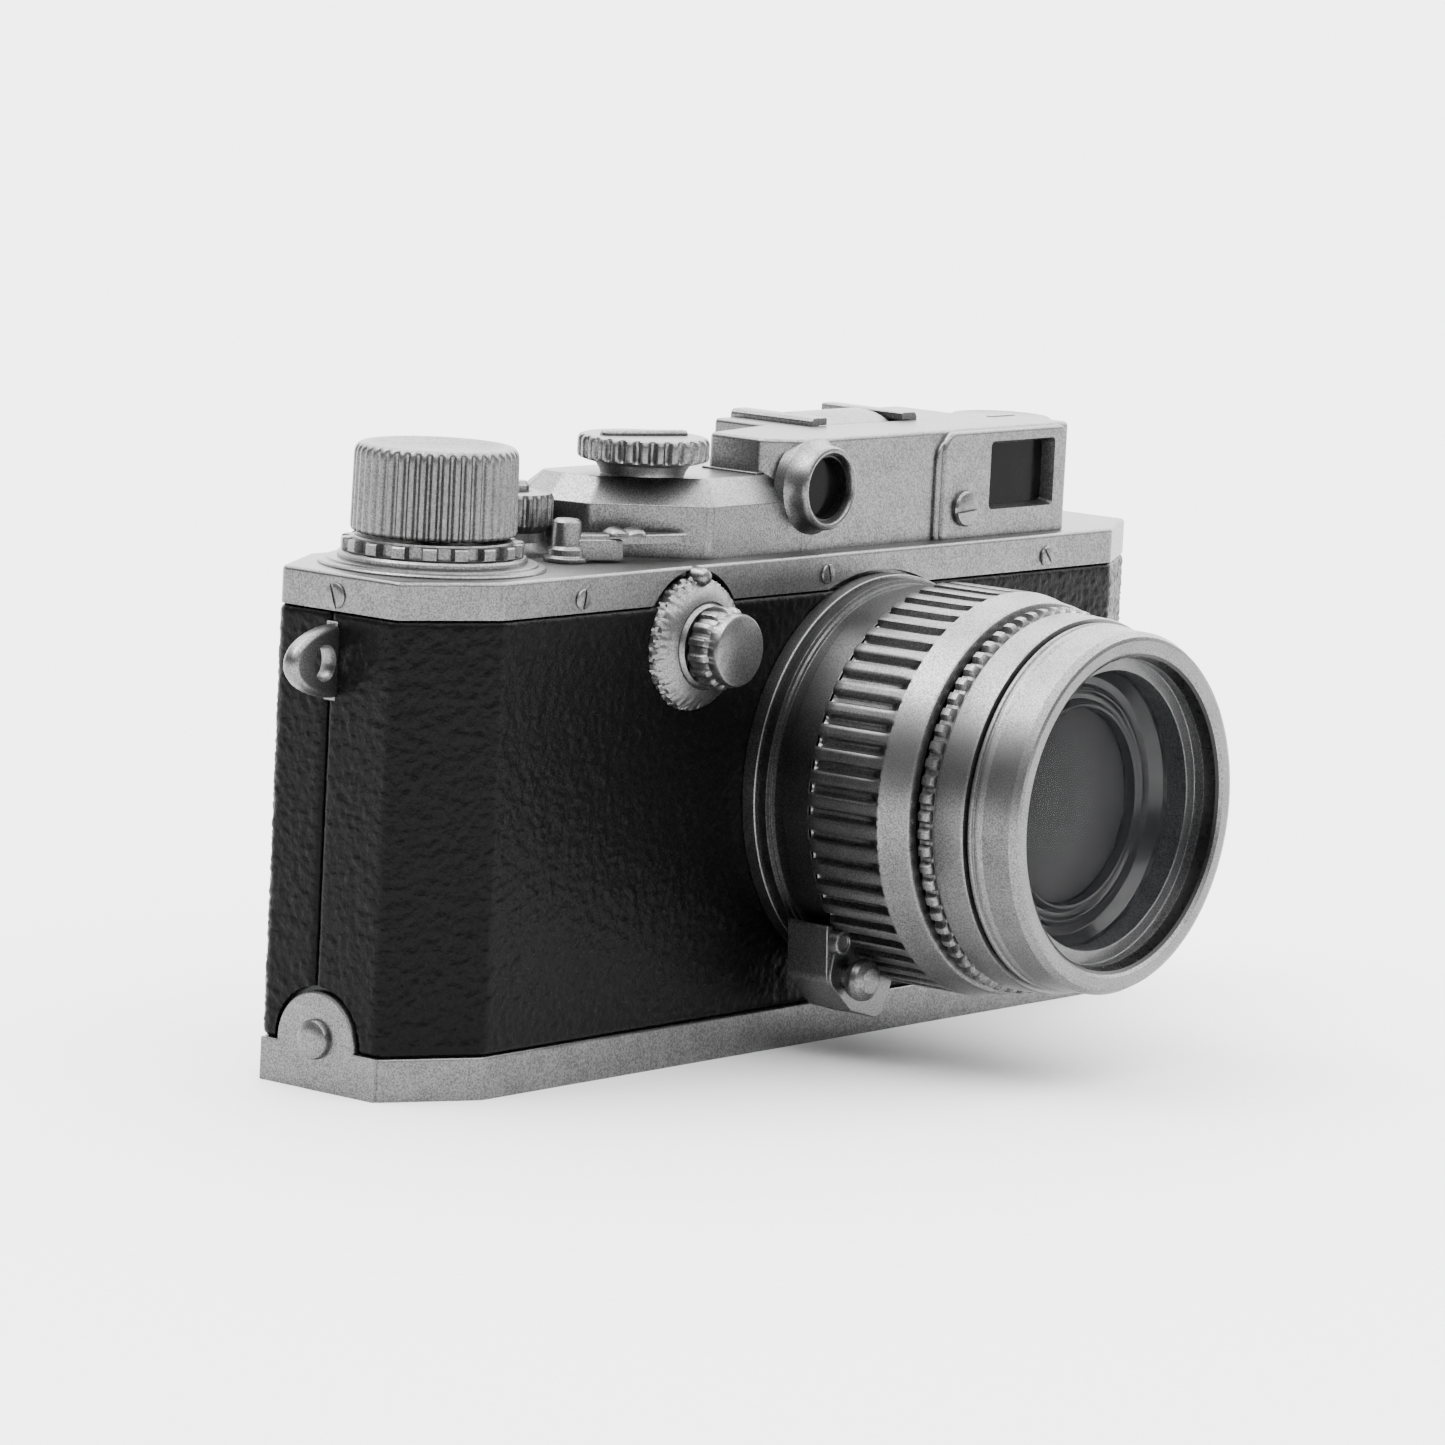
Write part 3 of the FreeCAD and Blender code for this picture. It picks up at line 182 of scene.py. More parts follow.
def inset_corners(corners, inset):
    """Move every side of an outline inwards. A convex corner's own radius shrinks with it."""
    count = len(corners)
    doubled_area = sum(corners[i - 1][0] * corners[i][1] - corners[i][0] * corners[i - 1][1]
                       for i in range(count))
    turn = 1 if doubled_area > 0 else -1
    result = []
    for i, (x, y, radius) in enumerate(corners):
        here = Vector((x, y))
        before = (here - Vector(corners[i - 1][:2])).normalized()
        after = (Vector(corners[(i + 1) % count][:2]) - here).normalized()
        inward = Vector((-before.y, before.x)) * turn
        inward_after = Vector((-after.y, after.x)) * turn
        shift = (inward + inward_after) / (1 + inward.dot(inward_after)) * inset
        convex = (before.x * after.y - before.y * after.x) * turn > 0
        size = max(0.04, radius - inset) if convex else radius + inset
        result.append((x + shift.x, y + shift.y, size if radius > 0 else 0))
    return result


def loft(corners, levels, steps=4):
    """A closed solid through an outline at several (height, inset) levels."""
    shape = bmesh.new()
    rings = []
    for height, inset in levels:
        outline = rounded(inset_corners(corners, inset), 0, steps)
        rings.append([shape.verts.new((p.x, p.y, height)) for p in outline])
    return skin_over(shape, rings)


def slab(corners, low, high, edge=0.3, radius=0.4, steps=4, arcs=4):
    """A plate standing on an outline, with its upper edge rounded over."""
    full = [(*corner, radius) if len(corner) < 3 else corner for corner in corners]
    turns = [math.pi / 2 * k / arcs for k in range(arcs + 1)]
    levels = [(low, 0)] + [(high - edge * (1 - math.sin(t)), edge * (1 - math.cos(t)))
                           for t in turns]
    return loft(full, levels, steps)


def bevelled(shape, width, segments=3, limit=24):
    """Round every edge whose faces meet at more than limit degrees."""
    sharp = [e for e in shape.edges
             if len(e.link_faces) == 2 and e.calc_face_angle(0) > math.radians(limit)]
    bmesh.ops.bevel(shape, geom=sharp, offset=width, segments=segments, profile=0.5,
                    affect="EDGES", clamp_overlap=True)
    return shape


def rectangle(x0, y0, x1, y1):
    return [(x0, y0), (x1, y0), (x1, y1), (x0, y1)]


def cylinder(radius, low, high, steps):
    return lathe([(0, low), (radius, low), (radius, high), (0, high)], steps)


def block(corner, size, width=0.3, segments=3):
    """A box with rounded edges."""
    x, y, z = corner
    shape = prism(rectangle(x, y, x + size[0], y + size[1]), z, z + size[2])
    return bevelled(shape, width, segments) if width else shape


def lathe(profile, steps=96, relief=None):
    """A closed turned solid about Z. A profile point is (radius, height, depth of the relief)."""
    shape = bmesh.new()
    rings = []
    for point in profile:
        radius, height = point[0], point[1]
        depth = point[2] if len(point) > 2 else 0
        if radius < 1e-6:
            rings.append([shape.verts.new((0, 0, height))])
            continue
        ring = []
        for i in range(steps):
            angle = TAU * i / steps
            here = radius - (depth * relief(angle) if relief and depth else 0)
            ring.append(shape.verts.new((here * math.cos(angle), here * math.sin(angle), height)))
        rings.append(ring)
    for one, two in zip(rings, rings[1:] + rings[:1]):
        if len(one) == 1 and len(two) == 1:
            continue
        for i in range(steps):
            j = (i + 1) % steps
            corners = [one[i], one[j]] if len(one) > 1 else [one[0]]
            corners += [two[j], two[i]] if len(two) > 1 else [two[0]]
            shape.faces.new(corners)
    return outward(shape)


def within(edge, level, *points):
    """Profile points given as a distance in from edge, a height above level, and a relief."""
    return [(edge - point[0], level + point[1], *point[2:]) for point in points]


def softened(profile, radius, steps=3):
    """A closed turning profile with rounded corners, keeping points that lie on the axis sharp."""
    corners = [(r, h, 0 if r < 1e-6 else radius) for r, h in profile]
    return [(p.x, p.y) for p in rounded(corners, radius, steps)]


def grooves(count, share=0.3, softness=0.25):
    """A relief of count grooves: 1 in a groove's bottom and 0 on the land between two."""
    def depth(angle):
        phase = (angle * count / TAU) % 1
        away = abs(phase - 0.5) * 2
        rise = min(1, max(0, (away - share) / softness))
        return 1 - rise * rise * (3 - 2 * rise)
    return depth


def moved(shape, matrix):
    bmesh.ops.transform(shape, matrix=matrix, verts=shape.verts)
    return shape


def as_object(shape, name):
    mesh = bpy.data.meshes.new(name)
    shape.to_mesh(mesh)
    shape.free()
    thing = bpy.data.objects.new(name, mesh)
    bpy.context.scene.collection.objects.link(thing)
    return thing


def boolean(base, tools, operation):
    """Join solids to a solid, or cut them from it."""
    thing = as_object(base, "boolean_base")
    others = [as_object(tool, "boolean_tool") for tool in tools]
    for other in others:
        step = thing.modifiers.new("step", "BOOLEAN")
        step.object = other
        step.operation = operation
        step.solver = "EXACT"
    bpy.context.view_layer.update()
    solved = thing.evaluated_get(bpy.context.evaluated_depsgraph_get())
    result = bmesh.new()
    result.from_mesh(solved.data)
    for spare in [thing] + others:
        mesh = spare.data
        bpy.data.objects.remove(spare)
        bpy.data.meshes.remove(mesh)
    return result


def together(shapes):
    """Several closed shells in one mesh."""
    result = bmesh.new()
    for shape in shapes:
        mesh = bpy.data.meshes.new("shell")
        shape.to_mesh(mesh)
        shape.free()
        result.from_mesh(mesh)
        bpy.data.meshes.remove(mesh)
    return result


def piece(name, shape, nodes, look="satin_silver", crease=30, weighted=True):
    """Make a visible piece that stands for CAD nodes and moves with their body."""
    bmesh.ops.scale(shape, vec=(MM, MM, MM), verts=shape.verts)
    thing = as_object(shape, name)
    thing.data.shade_smooth()
    thing.data.set_sharp_from_angle(angle=math.radians(crease))
    if weighted:
        normals = thing.modifiers.new("normals", "WEIGHTED_NORMAL")
        normals.keep_sharp = True
    thing.data.materials.append(LOOKS[look])
    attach(thing, frame["nodes"][nodes[0]]["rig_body"])
    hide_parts(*nodes)
    return thing


# ---- materials
def set_inputs(node, **values):
    """Set a node's inputs; an underscore in a name stands for a space."""
    for socket, value in values.items():
        node.inputs[socket.replace("_", " ")].default_value = value


class Surface:
    """A Principled material and short ways to wire its nodes."""

    def __init__(self, name, roughness=0.5, metallic=0.0, **extra):
        self.material = bpy.data.materials.new(name)
        self.material.use_nodes = True
        self.tree = self.material.node_tree
        self.shader = next(n for n in self.tree.nodes if n.type == "BSDF_PRINCIPLED")
        set_inputs(self.shader, Roughness=roughness, Metallic=metallic, **extra)
        self.place = self.tree.nodes.new("ShaderNodeTexCoord").outputs["Object"]

    def fed(self, kind, socket, source, **values):
        """A new node with one socket fed by source and others set to values."""
        node = self.tree.nodes.new(f"ShaderNode{kind}")
        set_inputs(node, **values)
        self.tree.links.new(source, node.inputs[socket])
        return node

    def noise(self, size, detail=2.0, rough=0.5):
        """Noise whose blotches are about size millimetres across."""
        node = self.fed("TexNoise", "Vector", self.place, Scale=1 / (size * MM),
                        Detail=detail, Roughness=rough)
        return node.outputs["Fac"]

    def cells(self, size):
        """Voronoi distance with cells about size millimetres across."""
        node = self.fed("TexVoronoi", "Vector", self.place, Scale=1 / (size * MM))
        return node.outputs["Distance"]

    def ramp(self, source, low, high):
        node = self.fed("MapRange", "Value", source, From_Min=0.3, From_Max=0.7,
                        To_Min=low, To_Max=high)
        return node.outputs["Result"]

    def tint(self, source, dark, light, start=0.3, end=0.7):
        node = self.fed("ValToRGB", "Fac", source)
        for stop, position, colour in zip(node.color_ramp.elements, (start, end), (dark, light)):
            stop.position = position
            stop.color = (*colour, 1)
        return node.outputs["Color"]

    def mix(self, one, two, share):
        node = self.tree.nodes.new("ShaderNodeMix")
        node.data_type = "RGBA"
        node.inputs[0].default_value = share
        self.tree.links.new(one, node.inputs[6])
        self.tree.links.new(two, node.inputs[7])
        return node.outputs[2]

    def bump(self, source, height, strength=1.0, under=None):
        """Relief of height millimetres from a 0 to 1 source."""
        node = self.fed("Bump", "Height", source, Strength=strength, Distance=height * MM)
        if under is not None:
            self.tree.links.new(under, node.inputs["Normal"])
        return node.outputs["Normal"]

    def finish(self, colour, roughness=None, normal=None):
        """Drive the shader's sockets from these sources and return the material."""
        for socket, source in zip(("Base Color", "Roughness", "Normal"),
                                  (colour, roughness, normal)):
            if source is not None:
                self.tree.links.new(source, self.shader.inputs[socket])
        return self.material


def grey(value):
    return (value, value, value)


def flaked(name, dark, light):
    """Silver finish with a fine metal flake over a slightly uneven casting."""
    look = Surface(name, metallic=1.0)
    flake = look.noise(0.2, 1.0)
    cloud = look.noise(3.5, 2.0)
    speck = look.tint(flake, grey(dark), grey(light), 0.36, 0.66)
    patch = look.tint(cloud, grey(dark * 1.2), grey(light * 0.9), 0.35, 0.65)
    slow = look.bump(cloud, 0.03, 0.3)
    return look.finish(look.mix(speck, patch, 0.25), look.ramp(flake, 0.44, 0.30),
                       look.bump(flake, 0.012, 0.45, slow))


def leather():
    """Black pebbled covering with a dull sheen on its high spots."""
    look = Surface("leatherette", IOR=1.16)
    grain = look.noise(0.42, 3.0, 0.6)
    pores = look.cells(0.5)
    return look.finish(look.tint(grain, grey(0.001), grey(0.003), 0.3, 0.75),
                       look.ramp(grain, 0.42, 0.24),
                       look.bump(grain, 0.09, 0.55, look.bump(pores, 0.06, 0.4)))


def enamel(name, value, roughness):
    """Semi-matt paint with a faint mottle."""
    look = Surface(name, Specular_IOR_Level=0.2)
    mottle = look.noise(0.6)
    return look.finish(look.tint(mottle, grey(value * 0.75), grey(value * 1.25)),
                       look.ramp(mottle, roughness * 0.85, roughness * 1.15),
                       look.bump(mottle, 0.004, 0.2))


def metal(name, dark, light, roughness, grain=0.3):
    """Bare metal with machining variation."""
    look = Surface(name, metallic=1.0)
    streak = look.noise(grain, 3.0)
    return look.finish(look.tint(streak, dark, light),
                       look.ramp(streak, roughness * 0.8, roughness * 1.25),
                       look.bump(streak, 0.008, 0.3))


def cloth():
    """Rubberised shutter cloth."""
    look = Surface("curtain_cloth", roughness=0.9)
    threads = look.cells(0.35)
    return look.finish(look.tint(threads, grey(0.010), grey(0.028), 0.1, 0.8),
                       normal=look.bump(threads, 0.05, 0.5))


def glass(name, blotch, dark, light, rough_low, rough_high, **sockets):
    """Smooth glass with a faint haze in blotches of a few millimetres."""
    look = Surface(name, **sockets)
    haze = look.noise(blotch)
    return look.finish(look.tint(haze, dark, light), look.ramp(haze, rough_low, rough_high))


# dark_glass is coloured near-black: painted shade standing in for the dark inside behind the
# finder's windows. clear_glass, the lens's cover, lets nearly all light through, so that the bowl
# and the element behind it show; the element's dull grey smoked_glass is painted shade standing in
# for the dim depth of the lens seen through clear glass.
LOOKS = {
    "satin_silver": flaked("satin_silver", 0.085, 0.20),
    "dark_silver": flaked("dark_silver", 0.03, 0.08),
    "black_body": enamel("black_body", 0.004, 0.30),
    "leatherette": leather(),
    "steel": metal("steel", grey(0.42), grey(0.60), 0.34),
    "brass": metal("brass", (0.50, 0.36, 0.14), (0.70, 0.54, 0.26), 0.34),
    "blade_steel": metal("blade_steel", grey(0.10), grey(0.14), 0.22, 1.2),
    "bowl_black": metal("bowl_black", grey(0.024), grey(0.034), 0.20, 1.6),
    "curtain_cloth": cloth(),
    # near-black painted shade for the dark inside behind the finder's windows
    "dark_glass": glass("dark_glass", 6.0, grey(0.001), grey(0.004), 0.10, 0.22,
                        roughness=0.08, IOR=1.12),
    "clear_glass": glass("clear_glass", 9.0, (0.020, 0.021, 0.024), (0.036, 0.037, 0.040),
                         0.28, 0.34, roughness=0.30, Alpha=0.08, IOR=1.45,
                         Specular_IOR_Level=0.1),
    # dull grey painted shade for the dim depth of the lens seen through its glass
    "smoked_glass": glass("smoked_glass", 7.0, grey(0.016), grey(0.021), 0.28, 0.36,
                          roughness=0.30, IOR=1.14),
}


def finish_cad_nodes():
    """Every CAD node takes its slot's material and smooth shading with sharp edges kept."""
    slots = {entry["node"]: entry["material_slot"] for entry in frame["record"]["subparts"]}
    for node, thing in frame["nodes"].items():
        thing.data.materials.clear()
        thing.data.materials.append(LOOKS[slots[node]])
        thing.data.shade_smooth()
        thing.data.set_sharp_from_angle(angle=math.radians(30))


# ---- top cover
def body_outline(inset=0.0, corner=1.2):
    """The body's octagon, with slightly rounded upright edges."""
    x, y = HALF_LENGTH - inset, HALF_DEPTH - inset
    cut_x, cut_y = END_CUT[0] - 0.74 * inset, END_CUT[1] - 0.413 * inset
    points = [(x, -y + cut_y), (x, y - cut_y), (x - cut_x, y), (-x + cut_x, y), (-x, y - cut_y),
              (-x, -y + cut_y), (-x + cut_x, -y), (x - cut_x, -y)]
    return [(*point, corner) for point in points]


BLOCK_LOW, BLOCK_HIGH = 65.2, 68.3
PANEL_LEFT, PANEL_RIGHT = 25.1, 50.0
PANEL_LOW, PANEL_HIGH = 58.9, 72.35
PANEL_PROUD = 0.8
HOUSING_LEFT = -5.4
HOUSING_STEP = 9.0
HOUSING_RIGHT = 51.3
HOUSING_BACK = shoe_high.y
RECESS_WALL = -7.4
RING_NOTCH, DIAL_NOTCH = 24.6, 8.7
BORE = 3.95


def make_shoulder():
    """The low block that carries the speed dial, with its wide sloping upper edge."""
    front, back = FRONT_WALL + 0.05, HOUSING_BACK - 0.05
    wall = [(HOUSING_STEP + 0.5, front, 0), (-17.4, front, 0.3), (-18.3, front + 0.4, 0.3),
            (-28.6, -2.2, 1.6), (-29.7, 3.2, 2.0), (-29.7, 7.8, 1.2), (-27.6, back, 1.0),
            (HOUSING_STEP + 0.5, back, 0)]
    rim = [(HOUSING_STEP + 0.5, front + 2.9, 0), (-15.4, front + 2.9, 0.5),
           (-16.4, front + 3.4, 0.5), (-25.6, -1.2, 1.2), (-26.7, 3.4, 1.6), (-26.7, 6.4, 1.0),
           (-25.6, back - 2.9, 0.8), (HOUSING_STEP + 0.5, back - 2.9, 0)]
    shape = bmesh.new()
    rings = []
    for height, share in ((DECK - 1.2, 0), (BLOCK_LOW, 0), (BLOCK_LOW + 0.22, 0.03),
                          (BLOCK_HIGH - 0.12, 0.94), (BLOCK_HIGH, 1.0)):
        corners = [tuple(a + (b - a) * share for a, b in zip(one, two))
                   for one, two in zip(wall, rim)]
        rings.append([shape.verts.new((p.x, p.y, height)) for p in rounded(corners, 0, 4)])
    return skin_over(shape, rings)


def make_housing():
    """The tall finder housing with its chamfered front-left corner."""
    notch = REWIND.x - 8.0
    outline = [(-1.0, FRONT_WALL, 0.7), (-5.2, -8.6, 1.4), (HOUSING_LEFT, -0.8, 0.8),
               (HOUSING_STEP, 2.2, 1.0), (HOUSING_STEP, HOUSING_BACK, 0.6),
               (notch, HOUSING_BACK, 0.6), (notch, RECESS_WALL, 2.0), (HOUSING_RIGHT, RECESS_WALL, 0.6),
               (HOUSING_RIGHT, FRONT_WALL, 0.7)]
    return slab(outline, DECK - 1.5, HOUSING_TOP, 0.55)


def make_wall_ledge():
    """A narrow strip on the low block along the foot of the tall wall."""
    corners = [(-6.3, -9.0, 0.1), (-4.6, -9.0, 0.1), (-4.6, -0.6, 0.1), (-6.3, -0.6, 0.1)]
    return slab(corners, BLOCK_HIGH - 0.5, BLOCK_HIGH + 0.28, 0.12)


def make_front_panel():
    """The raised frame round the viewfinder window, with a stepped left edge."""
    outline = [(PANEL_LEFT, PANEL_LOW, 0.8), (PANEL_RIGHT, PANEL_LOW, 0.8),
               (PANEL_RIGHT, PANEL_HIGH, 1.4), (PANEL_LEFT, PANEL_HIGH, 2.4)]
    step = [(PANEL_LEFT - 0.9, PANEL_LOW + 0.1, 0.8), (PANEL_RIGHT - 1, PANEL_LOW + 0.1, 0.8),
            (PANEL_RIGHT - 1, PANEL_HIGH - 0.7, 1.4), (PANEL_LEFT - 0.9, PANEL_HIGH - 0.7, 2.6)]
    plates = [slab(outline, -1.5, PANEL_PROUD, 0.5, steps=6),
              slab(step, -1.5, PANEL_PROUD - 0.35, 0.25, steps=6)]
    return [moved(plate, facing_front(0, FRONT_WALL, 0)) for plate in plates]


def make_range_boss():
    """The flared round rim of the rangefinder window."""
    profile = [(0, -1.5), (5.8, -1.5), (5.8, -0.02), (5.62, 0.15), (5.42, 0.5), (5.22, 0.95),
               (5.1, 1.5), (5.05, 2.0), (4.98, 2.35), (4.8, 2.58), (4.55, 2.66), (4.3, 2.6),
               (4.1, 2.4), (0, 2.4)]
    return moved(lathe(profile, 80), facing_front(RANGE_WINDOW.x, FRONT_WALL, RANGE_WINDOW.z))


def make_wind_flange():
    """Concentric steps on the deck under the wind knob."""
    profile = [(0, DECK - 1), (13.1, DECK - 1), (13.1, DECK + 0.2), (12.95, DECK + 0.38),
               (12.35, DECK + 0.46), (12.2, DECK + 0.5), (12.1, DECK + 0.72),
               (11.9, DECK + 0.8), (0, DECK + 0.8)]
    return moved(lathe(profile, 120), upright(WIND.x, 0))


def make_rewind_seat():
    profile = [(0, DECK - 0.8), (7.7, DECK - 0.8), (7.6, DECK + 0.8), (7.3, DECK + 1.0),
               (0, DECK + 1.0)]
    return moved(lathe(profile, 72), upright(REWIND.x, 0))


def window_well():
    """The flared opening of the viewfinder window, widening towards the front."""
    shape = bmesh.new()
    rings = []
    for depth, grow in ((-2.5, 1.1), (-PANEL_PROUD, 0.45), (0.9, 0.0), (4.0, 0.0)):
        corners = [(window_low.x - grow, window_low.z - grow),
                   (window_high.x + grow, window_low.z - grow),
                   (window_high.x + grow, window_high.z + grow),
                   (window_low.x - grow, window_high.z + grow)]
        outline = rounded(corners, 0.6)
        rings.append([shape.verts.new((p.x, FRONT_WALL + depth, p.y)) for p in outline])
    return skin_over(shape, rings)


def cover_cutters():
    """Window well, round bores, shoe bed, release shaft, and the arcs over ring and dial."""
    bore = [(0, -6), (BORE, -6), (BORE, 1.9), (BORE + 0.2, 2.35), (4.6, 4.0), (0, 4.0)]
    range_bore = moved(lathe(bore, 72), facing_front(RANGE_WINDOW.x, FRONT_WALL, RANGE_WINDOW.z))
    eye = moved(cylinder(3.4, -1, 6, 48), facing_front(EYE.x, HOUSING_BACK + 1, EYE.z))
    bed = prism(rectangle(shoe_low.x - 0.06, shoe_low.y - 0.06, shoe_high.x + 0.06, 30),
                shoe_low.z, shoe_low.z + 8)
    past_wall = HALF_DEPTH + 3
    ring_arc = moved(cylinder(RING_NOTCH, HALF_DEPTH - 1.3, past_wall, 144), ON_LENS)
    slow = middle("slow_dial_seat")
    dial_arc = moved(cylinder(DIAL_NOTCH, 12.8, past_wall, 96), facing_front(slow.x, 0, slow.z))
    stem = middle("release_button")
    shaft = prism(rounded([(1.0, 1.0), (-1.0, 1.0), (-1.0, -1.0), (1.0, -1.0)], 0.9), 40, DECK + 4)
    moved(shaft, upright(stem.x, stem.y))
    return [window_well(), range_bore, eye, bed, shaft, ring_arc, dial_arc]


def make_top_cover():
    deck = slab(body_outline(), COVER_BOTTOM, DECK, 0.5)
    solid = boolean(deck, [make_shoulder(), make_housing(), make_wall_ledge(),
                           *make_front_panel(), make_range_boss(), make_wind_flange(),
                           make_rewind_seat()], "UNION")
    solid = boolean(solid, cover_cutters(), "DIFFERENCE")
    piece("top_cover_shell", solid, ["top_cover"])
    sleeve = lathe([(3.72, -1.2), (3.93, -1.2), (3.93, 1.85), (3.72, 1.85)], 72)
    moved(sleeve, facing_front(RANGE_WINDOW.x, FRONT_WALL, RANGE_WINDOW.z))
    piece("range_bore_sleeve", sleeve, ["top_cover"], "black_body")


def shoe_rail(side):
    """One turned-over rail of the shoe, on its right (1) or left (-1)."""
    half = half_width("accessory_shoe")
    foot, top = shoe_low.z + 0.4, shoe_high.z
    under = top - 0.95
    section = [(half, foot, 0.15), (half, top, 0.7), (half - 3.0, top, 0.3),
               (half - 3.0, under, 0.15), (half - 1.5, under, 0.1), (half - 1.5, foot, 0.1)]
    if side < 0:
        section.reverse()
    centre = (shoe_low.x + shoe_high.x) / 2
    rail = slab([(centre + side * x, z, r) for x, z, r in section], 0,
                shoe_high.y - shoe_low.y, 0.12, steps=3)
    return moved(rail, facing_front(0, shoe_high.y, 0))


def shoe_leaf():
    """The arched leaf spring between the rails."""
    long = shoe_high.y - shoe_low.y - 2.0
    rise = shoe_high.z - shoe_low.z - 1.4
    leaf = []
    for k in range(17):
        share = k / 16
        leaf.append((shoe_low.y + 1.0 + long * share,
                     shoe_low.z + 1.35 + rise * math.sin(math.pi * share) ** 0.55))
    under = [(y, z - 0.4) for y, z in reversed(leaf)]
    centre = (shoe_low.x + shoe_high.x) / 2
    half = half_width("accessory_shoe") - 3.5
    strip = prism([(-z, y) for y, z in leaf + under], centre - half, centre + half)
    return moved(strip, Matrix(((0, 0, 1, 0), (0, 1, 0, 0), (-1, 0, 0, 0), (0, 0, 0, 1))))


def make_shoe():
    """Flat bed, two rails and the leaf spring."""
    bed = slab(rectangle(shoe_low.x, shoe_low.y, shoe_high.x, shoe_high.y), shoe_low.z,
               shoe_low.z + 1.3, 0.1, 0.3)
    shoe = together([bed, shoe_rail(-1), shoe_rail(1), shoe_leaf()])
    piece("accessory_shoe_sprung", outward(shoe), ["accessory_shoe"])


def screw(radius, height, slot_angle):
    """A domed screw with a slot, standing along Z from 0."""
    profile = [(0, -0.8), (radius, -0.8), (radius, height * 0.45), (radius * 0.9, height * 0.78),
               (radius * 0.6, height * 0.97), (0, height * 1.03)]
    slot = block((-radius * 1.3, -radius * 0.14, height * 0.5),
                 (radius * 2.6, radius * 0.28, height * 2), 0)
    moved(slot, Matrix.Rotation(math.radians(slot_angle), 4, "Z"))
    return boolean(lathe(profile, 40), [slot], "DIFFERENCE")


def make_cover_screws():
    """Screws along the cover's edge and in the finder panel."""
    shapes = []
    for i, (x, z) in enumerate(((-43.9, 56.5), (0.6, 56.8), (43.8, 56.5))):
        shapes.append(moved(screw(1.2, 0.4, 80 + 25 * i), facing_front(x, -HALF_DEPTH, z)))
        back = Matrix.Translation((x, HALF_DEPTH, 57.0)) @ Matrix.Rotation(-math.pi / 2, 4, "X")
        shapes.append(moved(screw(1.2, 0.4, 30 * i), back))
    for side in (-1, 1):
        turn = Matrix.Rotation(side * math.pi / 2, 4, "Y")
        spot = Matrix.Translation((side * HALF_LENGTH, 0.5, 56.6))
        shapes.append(moved(screw(1.5, 0.35, 20), spot @ turn))
    panel_screw = screw(2.2, 0.9, 4)
    shapes.append(moved(panel_screw, facing_front(29.4, FRONT_WALL - PANEL_PROUD, 62.9)))
    piece("cover_screws_domed", together(shapes), ["cover_screws"])


# ---- controls on the deck
COLLAR_RADIUS = 4.5
LEVER_PIVOT = (-35.5, -5.0)
LEVER_ANGLE = math.radians(-25.5)
DIAL_TOP = 73.0
DIAL_BAR_ANGLE = math.radians(-24)


def make_wind_knob():
    """Tall knob whose grooves run out into the rim of a shallow dished top."""
    edge = half_width("wind_knob") + 0.05
    bottom, top = heights("wind_knob")
    depth = 0.52
    profile = [(0, bottom + 0.1), (8.4, bottom + 0.1), (8.6, bottom)]
    profile += within(edge, bottom, (0.6, 0, 0.2), (0.12, 0.25, depth), (0, 0.6, depth))
    profile += within(edge, top, (0.12, -1.6, depth), (0.16, -1.1, depth * 0.95),
                      (0.24, -0.75, depth * 0.72), (0.4, -0.45, depth * 0.35),
                      (0.62, -0.22, 0.05), (0.95, -0.06), (1.35, 0), (1.75, -0.03), (2.1, -0.18),
                      (2.6, -0.42), (3.4, -0.6), (5.5, -0.68), (edge, -0.7))
    shape = lathe(profile, 616, grooves(44, 0.12, 0.66))
    piece("wind_knob_ribbed", moved(shape, upright(WIND.x, 0)), ["wind_knob"],
          crease=55)


def make_frame_counter():
    """The castellated counter ring under the knob."""
    edge = half_width("frame_counter")
    bottom, top = heights("frame_counter")
    inner = span("wind_shaft")[1].x - WIND.x + 0.06
    depth = 1.0
    profile = [(inner, bottom)]
    profile += within(edge, bottom, (0.15, 0), (0, 0.1), (0, 0.55), (0.2, 0.8), (0.55, 0.92),
                      (0.45, 0.98), (0.35, 1.05, depth))
    profile += within(edge, top, (0.35, -0.42, depth), (0.5, -0.26, depth - 0.15),
                      (1.0, -0.2, 0.8), (1.75, -0.2), (1.85, 0))
    profile += [(inner, top)]
    shape = lathe(profile, 432, grooves(18, 0.46, 0.08))
    piece("frame_counter_notched", moved(shape, upright(WIND.x, 0)), ["frame_counter"])


def make_release():
    """Knurled collar on a flared foot, round the release button."""
    top = span("release_collar")[1].z
    centre = middle("release_collar")
    edge = COLLAR_RADIUS
    depth = 0.32
    profile = [(1.75, DECK + 0.02), (5.1, DECK + 0.02), (5.0, DECK + 0.5), (4.3, DECK + 0.8),
               (3.7, DECK + 1.5), (3.5, DECK + 2.6)]
    profile += within(edge, DECK, (0.5, 3.2), (0.08, 3.5, depth * 0.7), (0, 3.9, depth))
    profile += within(edge, top, (0, -0.75, depth), (0.06, -0.5, depth * 0.8),
                      (0.3, -0.15, depth * 0.2), (0.65, 0))
    profile += [(2.1, top), (1.75, top - 0.3)]
    shape = lathe(profile, 308, grooves(22, 0.15, 0.6))
    piece("release_collar_knurled", moved(shape, upright(centre.x, centre.y)),
          ["release_collar"])


